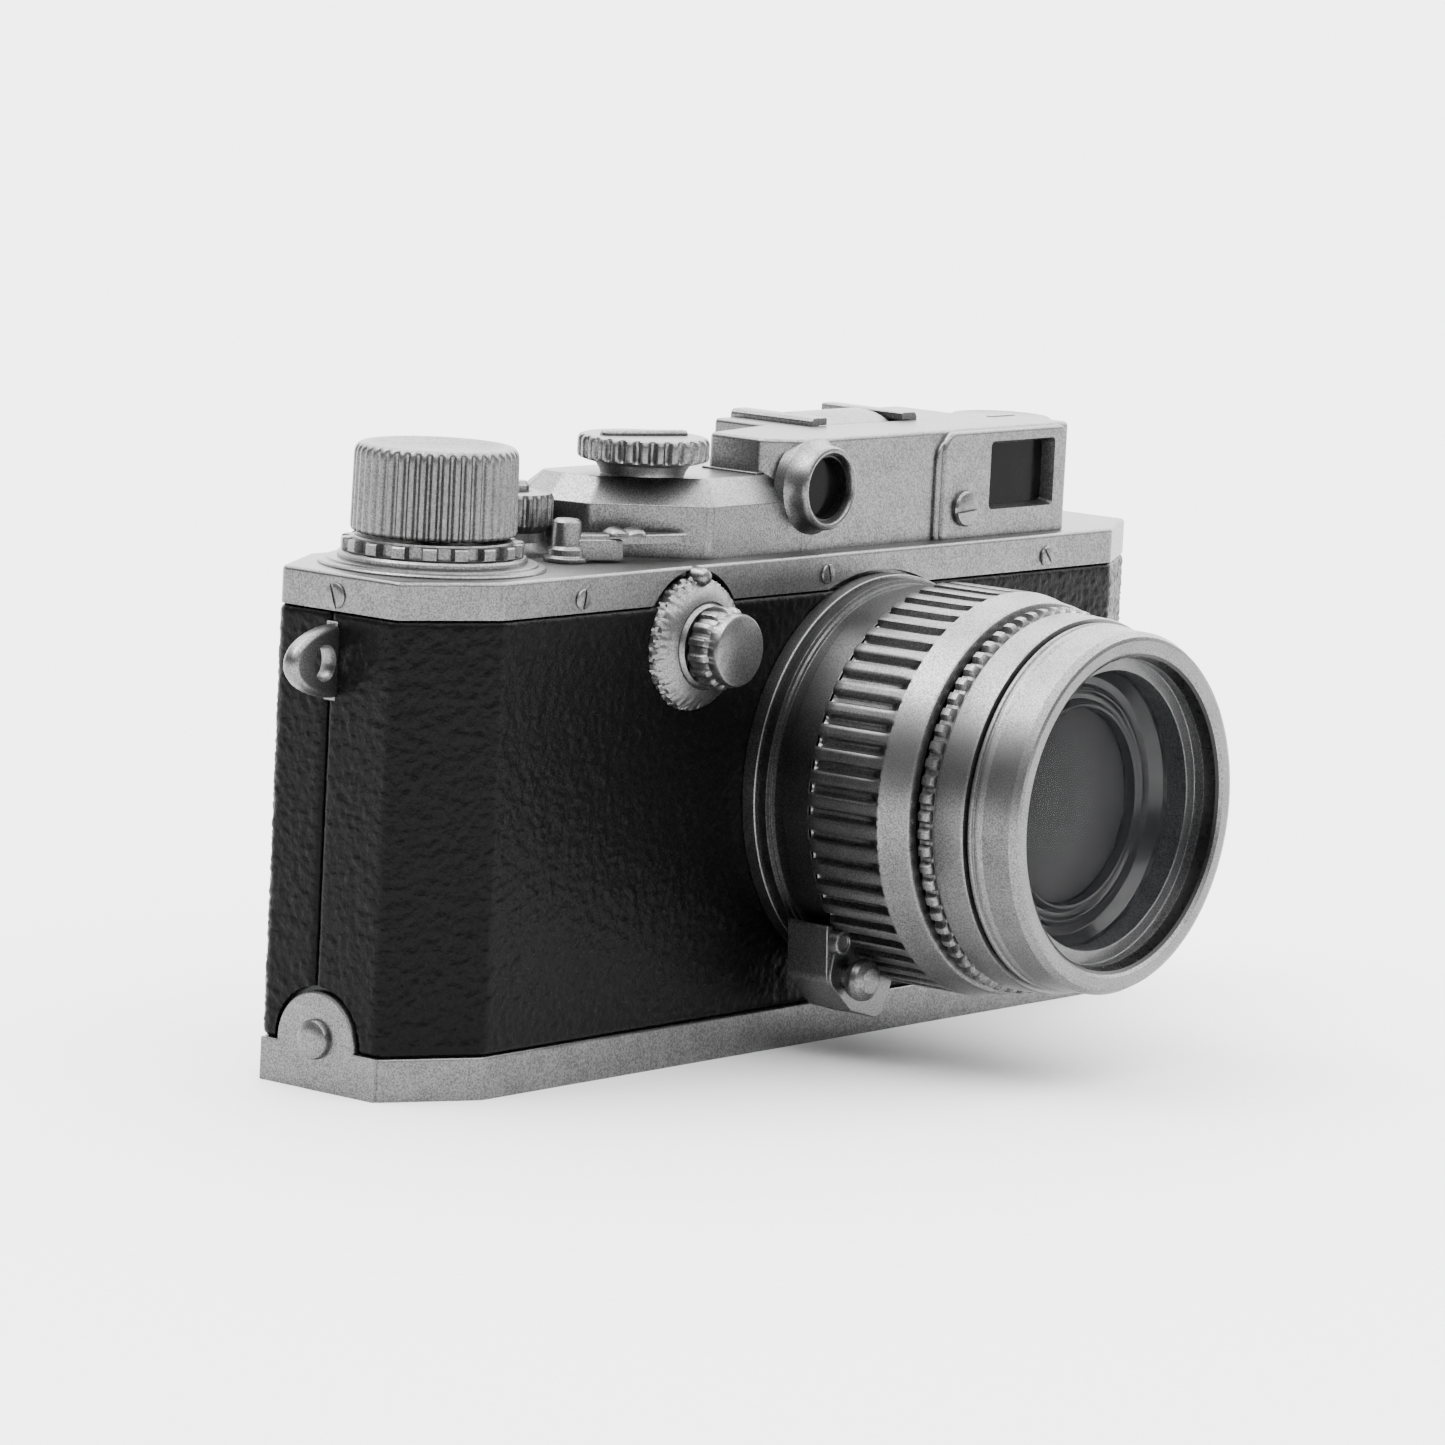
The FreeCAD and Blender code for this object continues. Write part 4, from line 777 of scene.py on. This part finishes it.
def make_lever():
    """Stepped post, slim pointer and thumb wave of the advance and rewind lever."""
    foot, top = heights("advance_rewind_lever")
    post = lathe(softened([(0, foot), (1.0, foot), (1.0, DECK + 0.02), (2.6, DECK + 0.02),
                           (2.6, 59.75), (2.15, 59.95), (2.1, 60.7), (1.75, 61.1),
                           (1.7, top - 0.35), (1.35, top), (0, top)], 0.2), 56)
    arm_outline = [(-1.2, -1.2, 1.1), (7.6, -1.05, 0.6), (10.4, -1.2, 1.0), (14.4, -0.5, 1.0),
                   (15.9, 0.1, 0.4), (14.9, 0.8, 0.6), (10.4, 1.05, 1.0), (7.6, 1.0, 0.6),
                   (-1.2, 1.2, 1.1)]
    arm = slab(arm_outline, 61.4, 62.5, 0.35, steps=5)
    web = slab([(0.8, -1.5, 0.3), (5.8, -1.5, 0.6), (7.0, -0.9, 0.6), (7.0, 0.9, 0.6),
                (5.8, 1.5, 0.6), (0.8, 1.5, 0.3)], DECK + 0.35, 61.95, 0.3)
    shape = together([post, arm, web, thumb_wave(62.3)])
    place = upright(*LEVER_PIVOT) @ Matrix.Rotation(LEVER_ANGLE, 4, "Z")
    piece("lever_pointer", moved(shape, place), ["advance_rewind_lever"])


def thumb_wave(height):
    """Two soft humps across the lever, for the thumb."""
    shape = bmesh.new()
    steps, rings = 28, []
    for i in range(steps + 1):
        share = i / steps
        hump = abs(math.sin(share * TAU)) ** 0.7
        rise = 0.35 + 0.62 * hump
        half = 0.95 + 0.9 * math.sqrt(max(0.0, 1 - (2 * share - 1) ** 4)) * (0.75 + 0.25 * hump)
        x = 4.9 + 4.8 * share
        section = [(half * math.cos(t), rise * max(0, math.sin(t)) ** 0.8)
                   for t in (math.pi * k / 10 for k in range(11))]
        rings.append([shape.verts.new((x, y, height + z)) for y, z in section])
    return skin_over(shape, rings)


def make_speed_dial():
    """Shutter speed dial with wide scooped recesses, a tapered neck and a raised index bar."""
    edge = half_width("speed_dial")
    bottom, bar_top = heights("speed_dial")
    top = DIAL_TOP
    bore = 1.56
    depth = 0.75
    profile = [(bore, bottom), (5.0, bottom), (5.1, bottom + 0.4), (5.6, 69.7)]
    profile += within(edge, 0, (1.0, 70.0), (0.35, 70.2, 0.15), (0.08, 70.4, depth * 0.8),
                      (0, 70.7, depth), (0, 72.2, depth), (0.06, 72.5, depth * 0.85))
    profile += within(edge, top, (0.25, -0.2, depth * 0.45), (0.5, -0.07, 0.1), (0.9, 0),
                      (1.6, -0.02), (edge, -0.05))
    profile += [(0, 69.6), (bore, 69.6)]
    knurl = lathe(profile, 416, grooves(26, 0.12, 0.62))
    rise = bar_top - top - 0.3
    corners = [(-5.6, -0.72, 0.5), (5.6, -0.72, 0.5), (5.6, 0.72, 0.5), (-5.6, 0.72, 0.5)]
    bar = moved(slab(corners, top - 0.4, top + rise, 0.5, steps=5),
                Matrix.Rotation(DIAL_BAR_ANGLE, 4, "Z"))
    piece("speed_dial_scalloped", moved(together([knurl, bar]), upright(DIAL.x, DIAL.y)),
          ["speed_dial"])


def make_rewind_knob():
    """Ribbed knob with a slim raised bar on its top."""
    edge = half_width("rewind_knob")
    bottom, top = heights("rewind_knob")
    profile = [(0, bottom), (edge - 0.5, bottom), (edge, bottom + 0.3, 0.4)]
    profile += within(edge, top, (0, -1.3, 0.4), (0.1, -1.0), (0.35, -0.45), (0.9, -0.06),
                      (1.4, 0), (2.0, -0.15), (edge, -0.2))
    shape = lathe(profile, 420, grooves(30, 0.3, 0.3))
    bar = block((-2.6, -0.3, top - 0.22), (5.2, 0.6, 0.16), 0.05, 1)
    piece("rewind_knob_ribbed", moved(together([shape, bar]), upright(REWIND.x, 0)),
          ["rewind_knob"])


def slow_seat(edge):
    """Cone with a rough cast edge and an index nub on its rim."""
    stem = 1.26

    def cast_edge(angle):
        around = Vector((math.cos(angle), math.sin(angle), 0.05))
        return 0.3 + 0.3 * noise.noise(around * 16)

    profile = [(stem, 0)]
    profile += within(edge, 0, (0.1, 0), (0, 0.25, 0.3), (0, 0.55, 0.4), (0.05, 0.85, 0.4),
                      (0.2, 1.2, 0.3), (0.4, 1.5, 0.15), (0.7, 1.85), (1.15, 2.2), (1.7, 2.55),
                      (2.3, 2.8), (2.8, 2.95), (2.9, 2.75))
    profile += [(5.0, 2.75), (4.9, 3.0), (4.6, 3.4), (stem, 3.4)]
    seat = lathe(profile, 240, cast_edge)
    for vert in seat.verts:
        around = math.hypot(vert.co.x, vert.co.y)
        share = min(1, max(0, (around - 6.6) / 0.9)) * min(1, vert.co.z / 0.4)
        vert.co += Vector(noise.noise_vector(vert.co * 2.4)) * 0.30 * share
    nub = moved(lathe([(0, 0), (1.2, 0), (1.15, 1.6), (0.8, 2.3), (0.4, 2.5), (0, 2.55)], 32),
                Matrix.Translation((0, edge - 0.1, 0.2)))
    return together([seat, nub])


def make_slow_dial():
    """The slow-speed dial's conical seat and its fluted knob."""
    centre = middle("slow_dial_seat")
    spot = facing_front(centre.x, span("slow_dial_seat")[1].y, centre.z)
    piece("slow_dial_cone", moved(slow_seat(half_width("slow_dial_seat")), spot),
          ["slow_dial_seat"])
    knob = [(0, -2.2), (1.2, -2.2), (1.2, 3.6), (3.9, 3.6), (4.5, 3.75, 0.3), (4.85, 4.1, 0.5),
            (4.9, 4.6, 0.5), (4.9, 5.7, 0.5), (4.75, 6.2, 0.45), (4.4, 6.5, 0.2), (4.28, 6.7),
            (4.28, 7.6), (4.15, 7.95), (3.85, 8.1), (0, 8.1)]
    piece("slow_knob_fluted", moved(lathe(knob, 240, grooves(15, 0.3, 0.4)), spot),
          ["slow_speed_knob"])


# ---- base, skins and lugs
TAB_Y, TAB_Z, TAB_RADIUS = 0.4, 5.4, 5.95
TAB_PROUD = 0.35
GRAIN_STEP = 0.36
GRAIN_DEPTH = 0.22
SKIN_PROUD = 0.2
TAB_GAP = 0.6
LENS_OPENING = 23.6


def end_tab():
    """The half-round tab on the wind end, and the boss on it."""
    outwards = (Matrix.Translation((-HALF_LENGTH, TAB_Y, TAB_Z)) @
                Matrix.Rotation(-math.pi / 2, 4, "Y"))
    tab = lathe([(0, -2), (TAB_RADIUS, -2), (TAB_RADIUS, 0.05),
                 (TAB_RADIUS - 0.1, TAB_PROUD - 0.08), (TAB_RADIUS - 0.25, TAB_PROUD),
                 (0, TAB_PROUD)], 120)
    inner = [block((-HALF_LENGTH - 3, -20, -6), (40, 40, 6), 0),
             block((-HALF_LENGTH + 0.9, -20, -1), (30, 40, 30), 0)]
    tab = boolean(moved(tab, outwards), inner, "DIFFERENCE")
    boss = lathe([(0, 0), (2.3, 0), (2.3, TAB_PROUD + 0.45), (2.15, TAB_PROUD + 0.72),
                  (1.7, TAB_PROUD + 0.95), (0.9, TAB_PROUD + 1.06), (0, TAB_PROUD + 1.08)], 56)
    return tab, moved(boss, Matrix.Translation((0, 0, 0.5)) @ outwards)


def end_apron():
    """The thicker wall under the tab."""
    end = HALF_DEPTH - END_CUT[1] - 0.05
    apron = slab([(-end, BASE_BOTTOM, 0.1), (end, BASE_BOTTOM, 0.1), (end, WALL_TOP, 0.2),
                  (-end, WALL_TOP, 0.2)], -1, TAB_PROUD, 0.12)
    along = Matrix(((0, 0, -1, 0), (1, 0, 0, 0), (0, 1, 0, 0), (0, 0, 0, 1)))
    moved(apron, Matrix.Translation((-HALF_LENGTH, 0, 0)) @ along)
    return outward(apron)


def make_base_plate():
    """The tray-shaped base, its holes for key and bush, and what stands on its wind end."""
    tray = slab(body_outline(), BASE_BOTTOM, WALL_TOP, 0.35)
    well = loft(body_outline(1.3, 1.0), [(1.4, 0), (9, 0)])
    holes = [moved(cylinder(radius, -2, 4, 72), upright(centre.x, centre.y))
             for centre, radius in ((middle("latch_key"), 7.06), (middle("tripod_bush"), 5.0))]
    tray = boolean(tray, [well] + holes, "DIFFERENCE")
    piece("base_plate_tray", boolean(tray, [end_apron(), *end_tab()], "UNION"), ["base_plate"])


def leather_height(x, y, z):
    """Height of the pebbled grain at a point, 0 to 1."""
    spot = Vector((x, y, z * 1.45))
    warp = Vector(noise.noise_vector(spot * 0.9)) * 0.8
    near, _ = noise.voronoi((spot + warp) * 0.82)
    cell = min(1, (near[1] - near[0]) * 2.0) ** 0.7
    fine = noise.noise(spot * 2.6)
    return 0.8 * cell + 0.2 * fine


def leather_path(side, seam):
    """Points and outward normals from one end's seam round the front (-1) or back (1)."""
    half = [(HALF_LENGTH, seam, 0), (HALF_LENGTH, side * (HALF_DEPTH - END_CUT[1]), 1.6),
            (HALF_LENGTH - END_CUT[0], side * HALF_DEPTH, 1.6)]
    corners = [(-x, y, radius) for x, y, radius in half] + half[::-1]
    return resampled(rounded(corners, 0, 8), GRAIN_STEP)


def grained_sheet(path):
    """A fine grid over the path, sunk into the grain and at its four edges."""
    bottom, top = WALL_TOP + 0.1, COVER_BOTTOM - 0.08
    rows = int((top - bottom) / GRAIN_STEP)
    shape = bmesh.new()
    grid = []
    for i, (point, out) in enumerate(path):
        column = []
        for k in range(rows + 1):
            z = bottom + (top - bottom) * k / rows
            margin = min(k, rows - k, i, len(path) - 1 - i) * GRAIN_STEP
            fade = min(1, margin / 0.8)
            sink = GRAIN_DEPTH * (1 - leather_height(point.x, point.y, z) * fade) - SKIN_PROUD
            sink += 0.35 * max(0, 1 - margin / 0.5) ** 2
            spot = point - out * sink
            column.append(shape.verts.new((spot.x, spot.y, z)))
        grid.append(column)
    for left, right in zip(grid, grid[1:]):
        for k in range(rows):
            shape.faces.new((left[k], right[k], right[k + 1], left[k + 1]))
    return shape


def make_leatherette(name, front):
    """A covering laid round the body from end face to end face, with a raised grain."""
    node = f"{name}_leatherette"
    low, high = span(node)
    side = -1 if front else 1
    shape = grained_sheet(leather_path(side, high.y if front else low.y))
    if front:
        open_round(shape, lambda v: Vector((v.co.x - lens_x, v.co.z - lens_z)), LENS_OPENING,
                   lambda v: v.co.y < -HALF_DEPTH + 1)
    open_round(shape, lambda v: Vector((v.co.y - TAB_Y, v.co.z - TAB_Z)), TAB_RADIUS + TAB_GAP,
               lambda v: v.co.x < -HALF_LENGTH + 1)
    turned_in_edges(shape)
    outward(shape)
    if sum(f.normal.y * f.calc_area() for f in shape.faces) * side < 0:
        bmesh.ops.reverse_faces(shape, faces=shape.faces)
    piece(f"{name}_leather_grain", shape, [node], "leatherette", 60, False)


def turned_in_edges(shape):
    """Give the covering's cut edges a wall that runs into the body."""
    rim = [e for e in shape.edges if e.is_boundary]
    made = bmesh.ops.extrude_edge_only(shape, edges=rim)["geom"]
    for vert in (v for v in made if isinstance(v, bmesh.types.BMVert)):
        on_end = abs(vert.co.x) > HALF_LENGTH - 1
        inwards = Vector((vert.co.x, 0, 0)) if on_end else Vector((0, vert.co.y, 0))
        vert.co -= inwards.normalized() * 0.6


def resampled(path, step):
    """Even points along an open path, each with its outward normal."""
    lengths = [0]
    for one, two in zip(path, path[1:]):
        lengths.append(lengths[-1] + (two - one).length)
    count = int(lengths[-1] / step)
    result, k = [], 0
    for i in range(count + 1):
        target = lengths[-1] * i / count
        while k < len(path) - 2 and lengths[k + 1] < target:
            k += 1
        share = (target - lengths[k]) / max(1e-9, lengths[k + 1] - lengths[k])
        along = (path[k + 1] - path[k]).normalized()
        out = Vector((along.y, -along.x))
        point = path[k].lerp(path[k + 1], share)
        if out.dot(point) < 0:
            out = -out
        result.append((point, out))
    return result


def open_round(shape, offset, radius, chosen):
    """Cut a round opening in a fine grid and pull its edge onto the circle."""
    inside = [f for f in shape.faces
              if all(chosen(v) for v in f.verts) and
              sum((offset(v).length for v in f.verts)) / len(f.verts) < radius]
    bmesh.ops.delete(shape, geom=inside, context="FACES")
    for vert in [v for v in shape.verts if v.is_boundary and chosen(v)]:
        away = offset(vert)
        if abs(away.length - radius) < GRAIN_STEP * 1.3 and away.length > 1e-6:
            push = away.normalized() * (radius - away.length)
            if abs(vert.co.x) > HALF_LENGTH - 2:
                vert.co.y += push.x
            else:
                vert.co.x += push.x
            vert.co.z += push.y


def lug_eyelet(reach, thick, half):
    """A rounded D with a flared hole, standing out along X."""
    bow = [(reach * math.cos(t), half * math.sin(t)) for t in
           (math.pi * k / 24 for k in range(-12, 13))]
    outline = [(-0.3, half, 0)] + [(max(0.3, x), y, 0) for x, y in reversed(bow[1:-1])]
    outline += [(-0.3, -half, 0)]
    upper, lower = (slab(outline, 0, thick / 2, 0.75, steps=6) for _ in range(2))
    moved(lower, Matrix.Scale(-1, 4, (0, 0, 1)))
    outward(lower)
    ring = boolean(upper, [lower], "UNION")
    hole = lathe([(0, -5), (2.2, -5), (1.75, -1.1), (1.55, -0.4), (1.55, 0.4), (1.75, 1.1),
                  (2.2, 5), (0, 5)], 56)
    moved(hole, Matrix.Translation((reach * 0.36, 0, 0)) @ Matrix.Scale(1.22, 4, (0, 1, 0)))
    return boolean(ring, [hole], "DIFFERENCE")


def make_strap_lugs():
    """Thick D-shaped eyelets on a thin root strip."""
    for node, side in (("strap_lug_left", -1), ("strap_lug_right", 1)):
        low, high = span(node)
        centre = middle(node)
        lug = lug_eyelet(high.x - low.x, high.y - low.y, (high.z - low.z) / 2)
        root = high.x if side < 0 else low.x
        moved(lug, facing_front(root, centre.y, centre.z) @ Matrix.Scale(side, 4, (1, 0, 0)))
        outward(lug)
        strip = block((side * HALF_LENGTH - 0.15, centre.y - 0.8, centre.z - 4.5),
                      (0.5, 1.7, 9.0), 0.1, 1)
        piece(f"{node}_cast", together([lug, strip]), [node])


# ---- lens
FOCUS_RIBS = 54
BEADS = 68
GLASS_RADIUS = 18.1


def on_lens(name, profile, node, look="satin_silver", steps=144, relief=None):
    piece(name, moved(lathe(profile, steps, relief), ON_LENS), [node], look)


def make_mount_and_collar():
    """Thin mount ring and the dark stepped collar in front of it."""
    back, face = lens_span("lens_mount_ring")
    edge = half_width("lens_mount_ring") - 0.45
    ring = softened([(19.5, back), (22.2, back), (22.2, HALF_DEPTH + 0.05), (edge, HALF_DEPTH + 0.05),
                     (edge, face), (19.5, face)], 0.22)
    on_lens("mount_ring_turned", ring, "lens_mount_ring", steps=192)
    collar = softened([(17.4, 12.4), (19.4, 12.4), (19.4, face), (23.7, face), (23.7, 18.5),
                       (23.2, 18.6), (23.2, 18.9), (22.8, 19.0), (22.8, 20.5), (23.3, 20.8),
                       (23.3, 24.6), (21.9, 24.6), (21.9, 37.5), (20.36, 37.5), (20.36, 20.0),
                       (17.4, 20.0)], 0.12, 2)
    on_lens("lens_collar_turned", collar, "lens_collar", "dark_silver", 192)


def make_focusing_ring():
    """Milled flutes that run out in pointed scoops, and a smooth tapered band."""
    back, front = 24.9, lens_span("focusing_ring")[1]
    edge = 24.2
    bore = 21.96
    depth = 1.15
    outer = [(edge - 0.5, back, 0.5), (edge - 0.1, back + 0.2, depth * 0.9),
             (edge, back + 0.5, depth)]
    outer += [(edge, back + 0.5 + 1.2 * i, depth) for i in range(1, 7)]
    scoop = [(0.0, 1.0), (0.3, 0.95), (0.6, 0.85), (0.9, 0.71), (1.2, 0.53), (1.5, 0.32),
             (1.8, 0.12), (2.0, 0.0)]
    start = back + 8.6
    outer += [(edge, start + run, depth * share) for run, share in scoop]
    outer += [(edge - 0.05, start + 2.3), (23.85, start + 3.0), (23.45, front - 0.4),
              (23.25, front - 0.12), (22.95, front)]
    profile = [(bore, back)] + outer + [(bore, front)]
    on_lens("focusing_ring_fluted", profile, "focusing_ring", steps=FOCUS_RIBS * 12,
            relief=grooves(FOCUS_RIBS, 0.26, 0.30))


def make_focusing_block():
    """The lever block under the ring, with its web and a small ringed nub."""
    plate = rounded([(-7.2, -23.3, 0.5), (-9.2, -27.6, 1.5), (-15.0, -26.0, 2.0),
                     (-19.4, -22.0, 2.0), (-19.8, -15.2, 1.2), (-18.6, -15.6, 0.5),
                     (-13.3, -20.3, 0.5)], 0.5)
    web = rounded([(-6.9, -22.2, 0.5), (-9.2, -27.6, 1.5), (-15.0, -26.0, 2.0),
                   (-19.4, -22.0, 2.0), (-17.8, -14.9, 0.5)], 0.5)
    back = bevelled(prism(plate, 19.6, 25.6), 0.5, 3)
    front = bevelled(prism(web, 24.95, 26.0), 0.4, 3)
    nub = lathe(softened([(0, 24), (1.5, 24), (1.5, 26.9), (0.95, 26.9), (0.95, 26.6), (0, 26.6)],
                         0.2), 40)
    moved(nub, Matrix.Translation((-18.0, -17.4, 0)))
    button = middle("infinity_lock_button")
    hole = cylinder(1.5, 15, 40, 40)
    moved(hole, Matrix.Translation((button.x - lens_x, button.z - lens_z, 0)))
    solid = boolean(boolean(back, [front, nub], "UNION"), [hole], "DIFFERENCE")
    piece("focusing_lever_block", moved(solid, ON_LENS), ["focusing_ring"])
    start, end = lens_span("infinity_lock_button")
    knob = softened([(0, start), (1.4, start), (1.4, 27.2), (2.3, 27.2), (2.55, 28.2),
                     (2.4, 29.0), (1.5, end - 0.1), (0, end)], 0.25, 4)
    place = facing_front(button.x, 0, button.z)
    piece("infinity_button_domed", moved(lathe(knob, 56), place), ["infinity_lock_button"])


def make_aperture_ring():
    """Bead-edged ring with a smooth band in front."""
    back, front = lens_span("aperture_ring")
    edge = half_width("aperture_ring")
    bore = half_width("inner_barrel") + 0.06
    depth = 0.75
    profile = [(bore, back)]
    profile += within(edge, back, (1.2, 0), (0.9, 0.25), (0.35, 0.42, depth * 0.6),
                      (0.06, 0.65, depth), (0, 1.0, depth), (0, 1.45, depth), (0.06, 1.8, depth),
                      (0.35, 2.02, depth * 0.6), (0.95, 2.15), (0.95, 2.35), (0.62, 2.55),
                      (0.5, 2.8))
    profile += within(edge, front, (0.6, -0.3), (0.75, 0))
    profile += [(bore, front)]
    on_lens("aperture_ring_beaded", profile, "aperture_ring", steps=BEADS * 10,
            relief=grooves(BEADS, 0.22, 0.38))


def make_barrels():
    """Inner barrel, the front barrel with its bevelled filter rim, and the rim's lining."""
    inner = softened([(16.6, 20.6), (20.3, 20.6), (20.3, 47.0), (16.6, 47.0)], 0.1, 2)
    on_lens("inner_barrel_turned", inner, "inner_barrel", "dark_silver")
    rim = lens_span("front_barrel")[1]
    front = softened([(16.6, 46.8), (21.6, 46.8), (21.85, 47.0), (21.85, 47.4), (21.55, 47.55),
                      (21.55, 47.8), (21.85, 47.95), (21.8, 48.4), (21.6, 48.9), (21.45, 52.6),
                      (20.95, rim - 0.12), (20.5, rim), (19.35, rim),
                      (18.8, rim - 0.45), (18.7, rim - 0.7), (18.7, 51.6), (18.2, 51.6),
                      (18.2, 50.2), (16.6, 50.2)], 0.1, 3)
    on_lens("front_barrel_rim", front, "front_barrel", steps=192)
    lining = [(18.2, 51.5), (18.75, 51.5), (18.8, rim - 0.7), (18.95, rim - 0.32),
              (18.6, rim - 0.6), (18.45, 52.2)]
    on_lens("front_barrel_lining", lining, "front_barrel", "black_body")


def make_front_optics():
    """Flat cover glass, the stepped dark bowl behind it, and the domed front element."""
    disc = softened([(0, 50.3), (GLASS_RADIUS, 50.3), (GLASS_RADIUS, 51.4), (0, 51.4)], 0.15, 3)
    on_lens("cover_glass_disc", disc, "front_cover_glass", "clear_glass")
    bowl = softened([(11.7, 42.0), (16.55, 42.0), (18.0, 50.0), (17.7, 50.1), (16.4, 46.9),
                     (15.4, 45.6), (14.4, 45.3), (14.1, 45.75), (13.6, 45.85), (13.3, 45.4),
                     (12.6, 45.3), (12.35, 46.2), (12.1, 46.4), (11.75, 46.2)], 0.2, 4)
    on_lens("optics_bowl", bowl, "optics_ring", "bowl_black", 192)
    curve = [(1.16 * k, 45.6 - 0.9 * (k / 10) ** 2) for k in range(11)]
    element = [(0, 40.9), (11.6, 41.2)] + curve[::-1]
    on_lens("front_element_domed", element, "front_element", "smoked_glass")


# ---- stage
FLOOR_HALF = 15000
SUN_FROM = (-0.35, 0.30, 0.90)
SUN_POWER = 4.0
SUN_SPREAD = 36
OVERHEAD = 6.6
OVERHEAD_DIRECTION = (0.15, -0.10, 0.98)
BEHIND = 5.5
BEHIND_DIRECTION = (0.775, 0.632, 0)
IN_FRONT = 0.14


def make_stage():
    """Pale paper floor, the studio round it, and one softened sun."""
    floor_mesh = bmesh.new()
    corners = [floor_mesh.verts.new((x, y, 0)) for x, y in
               rectangle(-FLOOR_HALF, -FLOOR_HALF, FLOOR_HALF, FLOOR_HALF)]
    floor_mesh.faces.new(corners)
    bmesh.ops.scale(floor_mesh, vec=(MM, MM, MM), verts=floor_mesh.verts)
    floor = as_object(floor_mesh, "floor")
    paper = Surface("paper", roughness=0.85)
    look = paper.finish(paper.tint(paper.noise(1.2), grey(0.70), grey(0.73)))
    floor.data.materials.append(look)
    bpy.context.scene.world = studio_world()
    sun = bpy.data.lights.new("softened_sun", "SUN")
    sun.energy = SUN_POWER
    sun.angle = math.radians(SUN_SPREAD)
    lamp = bpy.data.objects.new("softened_sun", sun)
    lamp.rotation_euler = Vector(SUN_FROM).to_track_quat("Z", "Y").to_euler()
    bpy.context.scene.collection.objects.link(lamp)


def reading(tree, axis, start, end, low, high):
    """Map how far a direction of the world points along an axis to a brightness."""
    dot = tree.nodes.new("ShaderNodeVectorMath")
    dot.operation = "DOT_PRODUCT"
    dot.inputs[1].default_value = axis
    direction = tree.nodes.new("ShaderNodeTexCoord").outputs["Generated"]
    tree.links.new(direction, dot.inputs[0])
    scale = tree.nodes.new("ShaderNodeMapRange")
    scale.interpolation_type = "SMOOTHSTEP"
    set_inputs(scale, From_Min=start, From_Max=end, To_Min=low, To_Max=high)
    tree.links.new(dot.outputs["Value"], scale.inputs["Value"])
    return scale.outputs["Result"]


def studio_world():
    """A large soft box overhead, a pale wall behind the object and a dim room in front of it."""
    world = bpy.data.worlds.new("studio")
    world.use_nodes = True
    tree = world.node_tree
    sky = tree.nodes["Background"]
    total = tree.nodes.new("ShaderNodeMath")
    total.operation = "ADD"
    room = reading(tree, BEHIND_DIRECTION, 0.05, 0.85, IN_FRONT, BEHIND)
    box = reading(tree, OVERHEAD_DIRECTION, 0.42, 0.76, 0, OVERHEAD)
    tree.links.new(room, total.inputs[0])
    tree.links.new(box, total.inputs[1])
    sky.inputs["Color"].default_value = (1, 1, 1, 1)
    tree.links.new(total.outputs["Value"], sky.inputs["Strength"])
    return world


AZIMUTH, ELEVATION, ROLL = -50.77, 7.95, 2.90
DISTANCE = 827.3
LENS_MM = 170.97
TARGET = (0, 0, 35)
ACROSS, ALONG = -0.61, -2.04


def make_camera():
    """A long lens at the wind end, slightly above the deck's height."""
    a, e, roll = (math.radians(v) for v in (AZIMUTH, ELEVATION, ROLL))
    back = Vector((math.sin(a) * math.cos(e), -math.cos(a) * math.cos(e), math.sin(e)))
    right = Vector((math.cos(a), math.sin(a), 0))
    up = back.cross(right)
    turned_right = right * math.cos(roll) + up * math.sin(roll)
    turned_up = up * math.cos(roll) - right * math.sin(roll)
    data = bpy.data.cameras.new("camera")
    data.lens = LENS_MM
    data.sensor_width = 36
    data.clip_start, data.clip_end = 0.05, 100
    camera = bpy.data.objects.new("camera", data)
    place = Vector(TARGET) - turned_right * ACROSS - turned_up * ALONG + back * DISTANCE
    basis = Matrix((turned_right, turned_up, back)).transposed().to_4x4()
    camera.matrix_world = Matrix.Translation(place * MM) @ basis
    bpy.context.scene.collection.objects.link(camera)
    bpy.context.scene.camera = camera


finish_cad_nodes()
make_stage()
make_camera()
make_top_cover()
make_shoe()
make_cover_screws()
make_wind_knob()
make_frame_counter()
make_release()
make_lever()
make_speed_dial()
make_rewind_knob()
make_slow_dial()
make_base_plate()
make_leatherette("front", True)
make_leatherette("rear", False)
make_strap_lugs()
make_mount_and_collar()
make_focusing_ring()
make_focusing_block()
make_aperture_ring()
make_barrels()
make_front_optics()
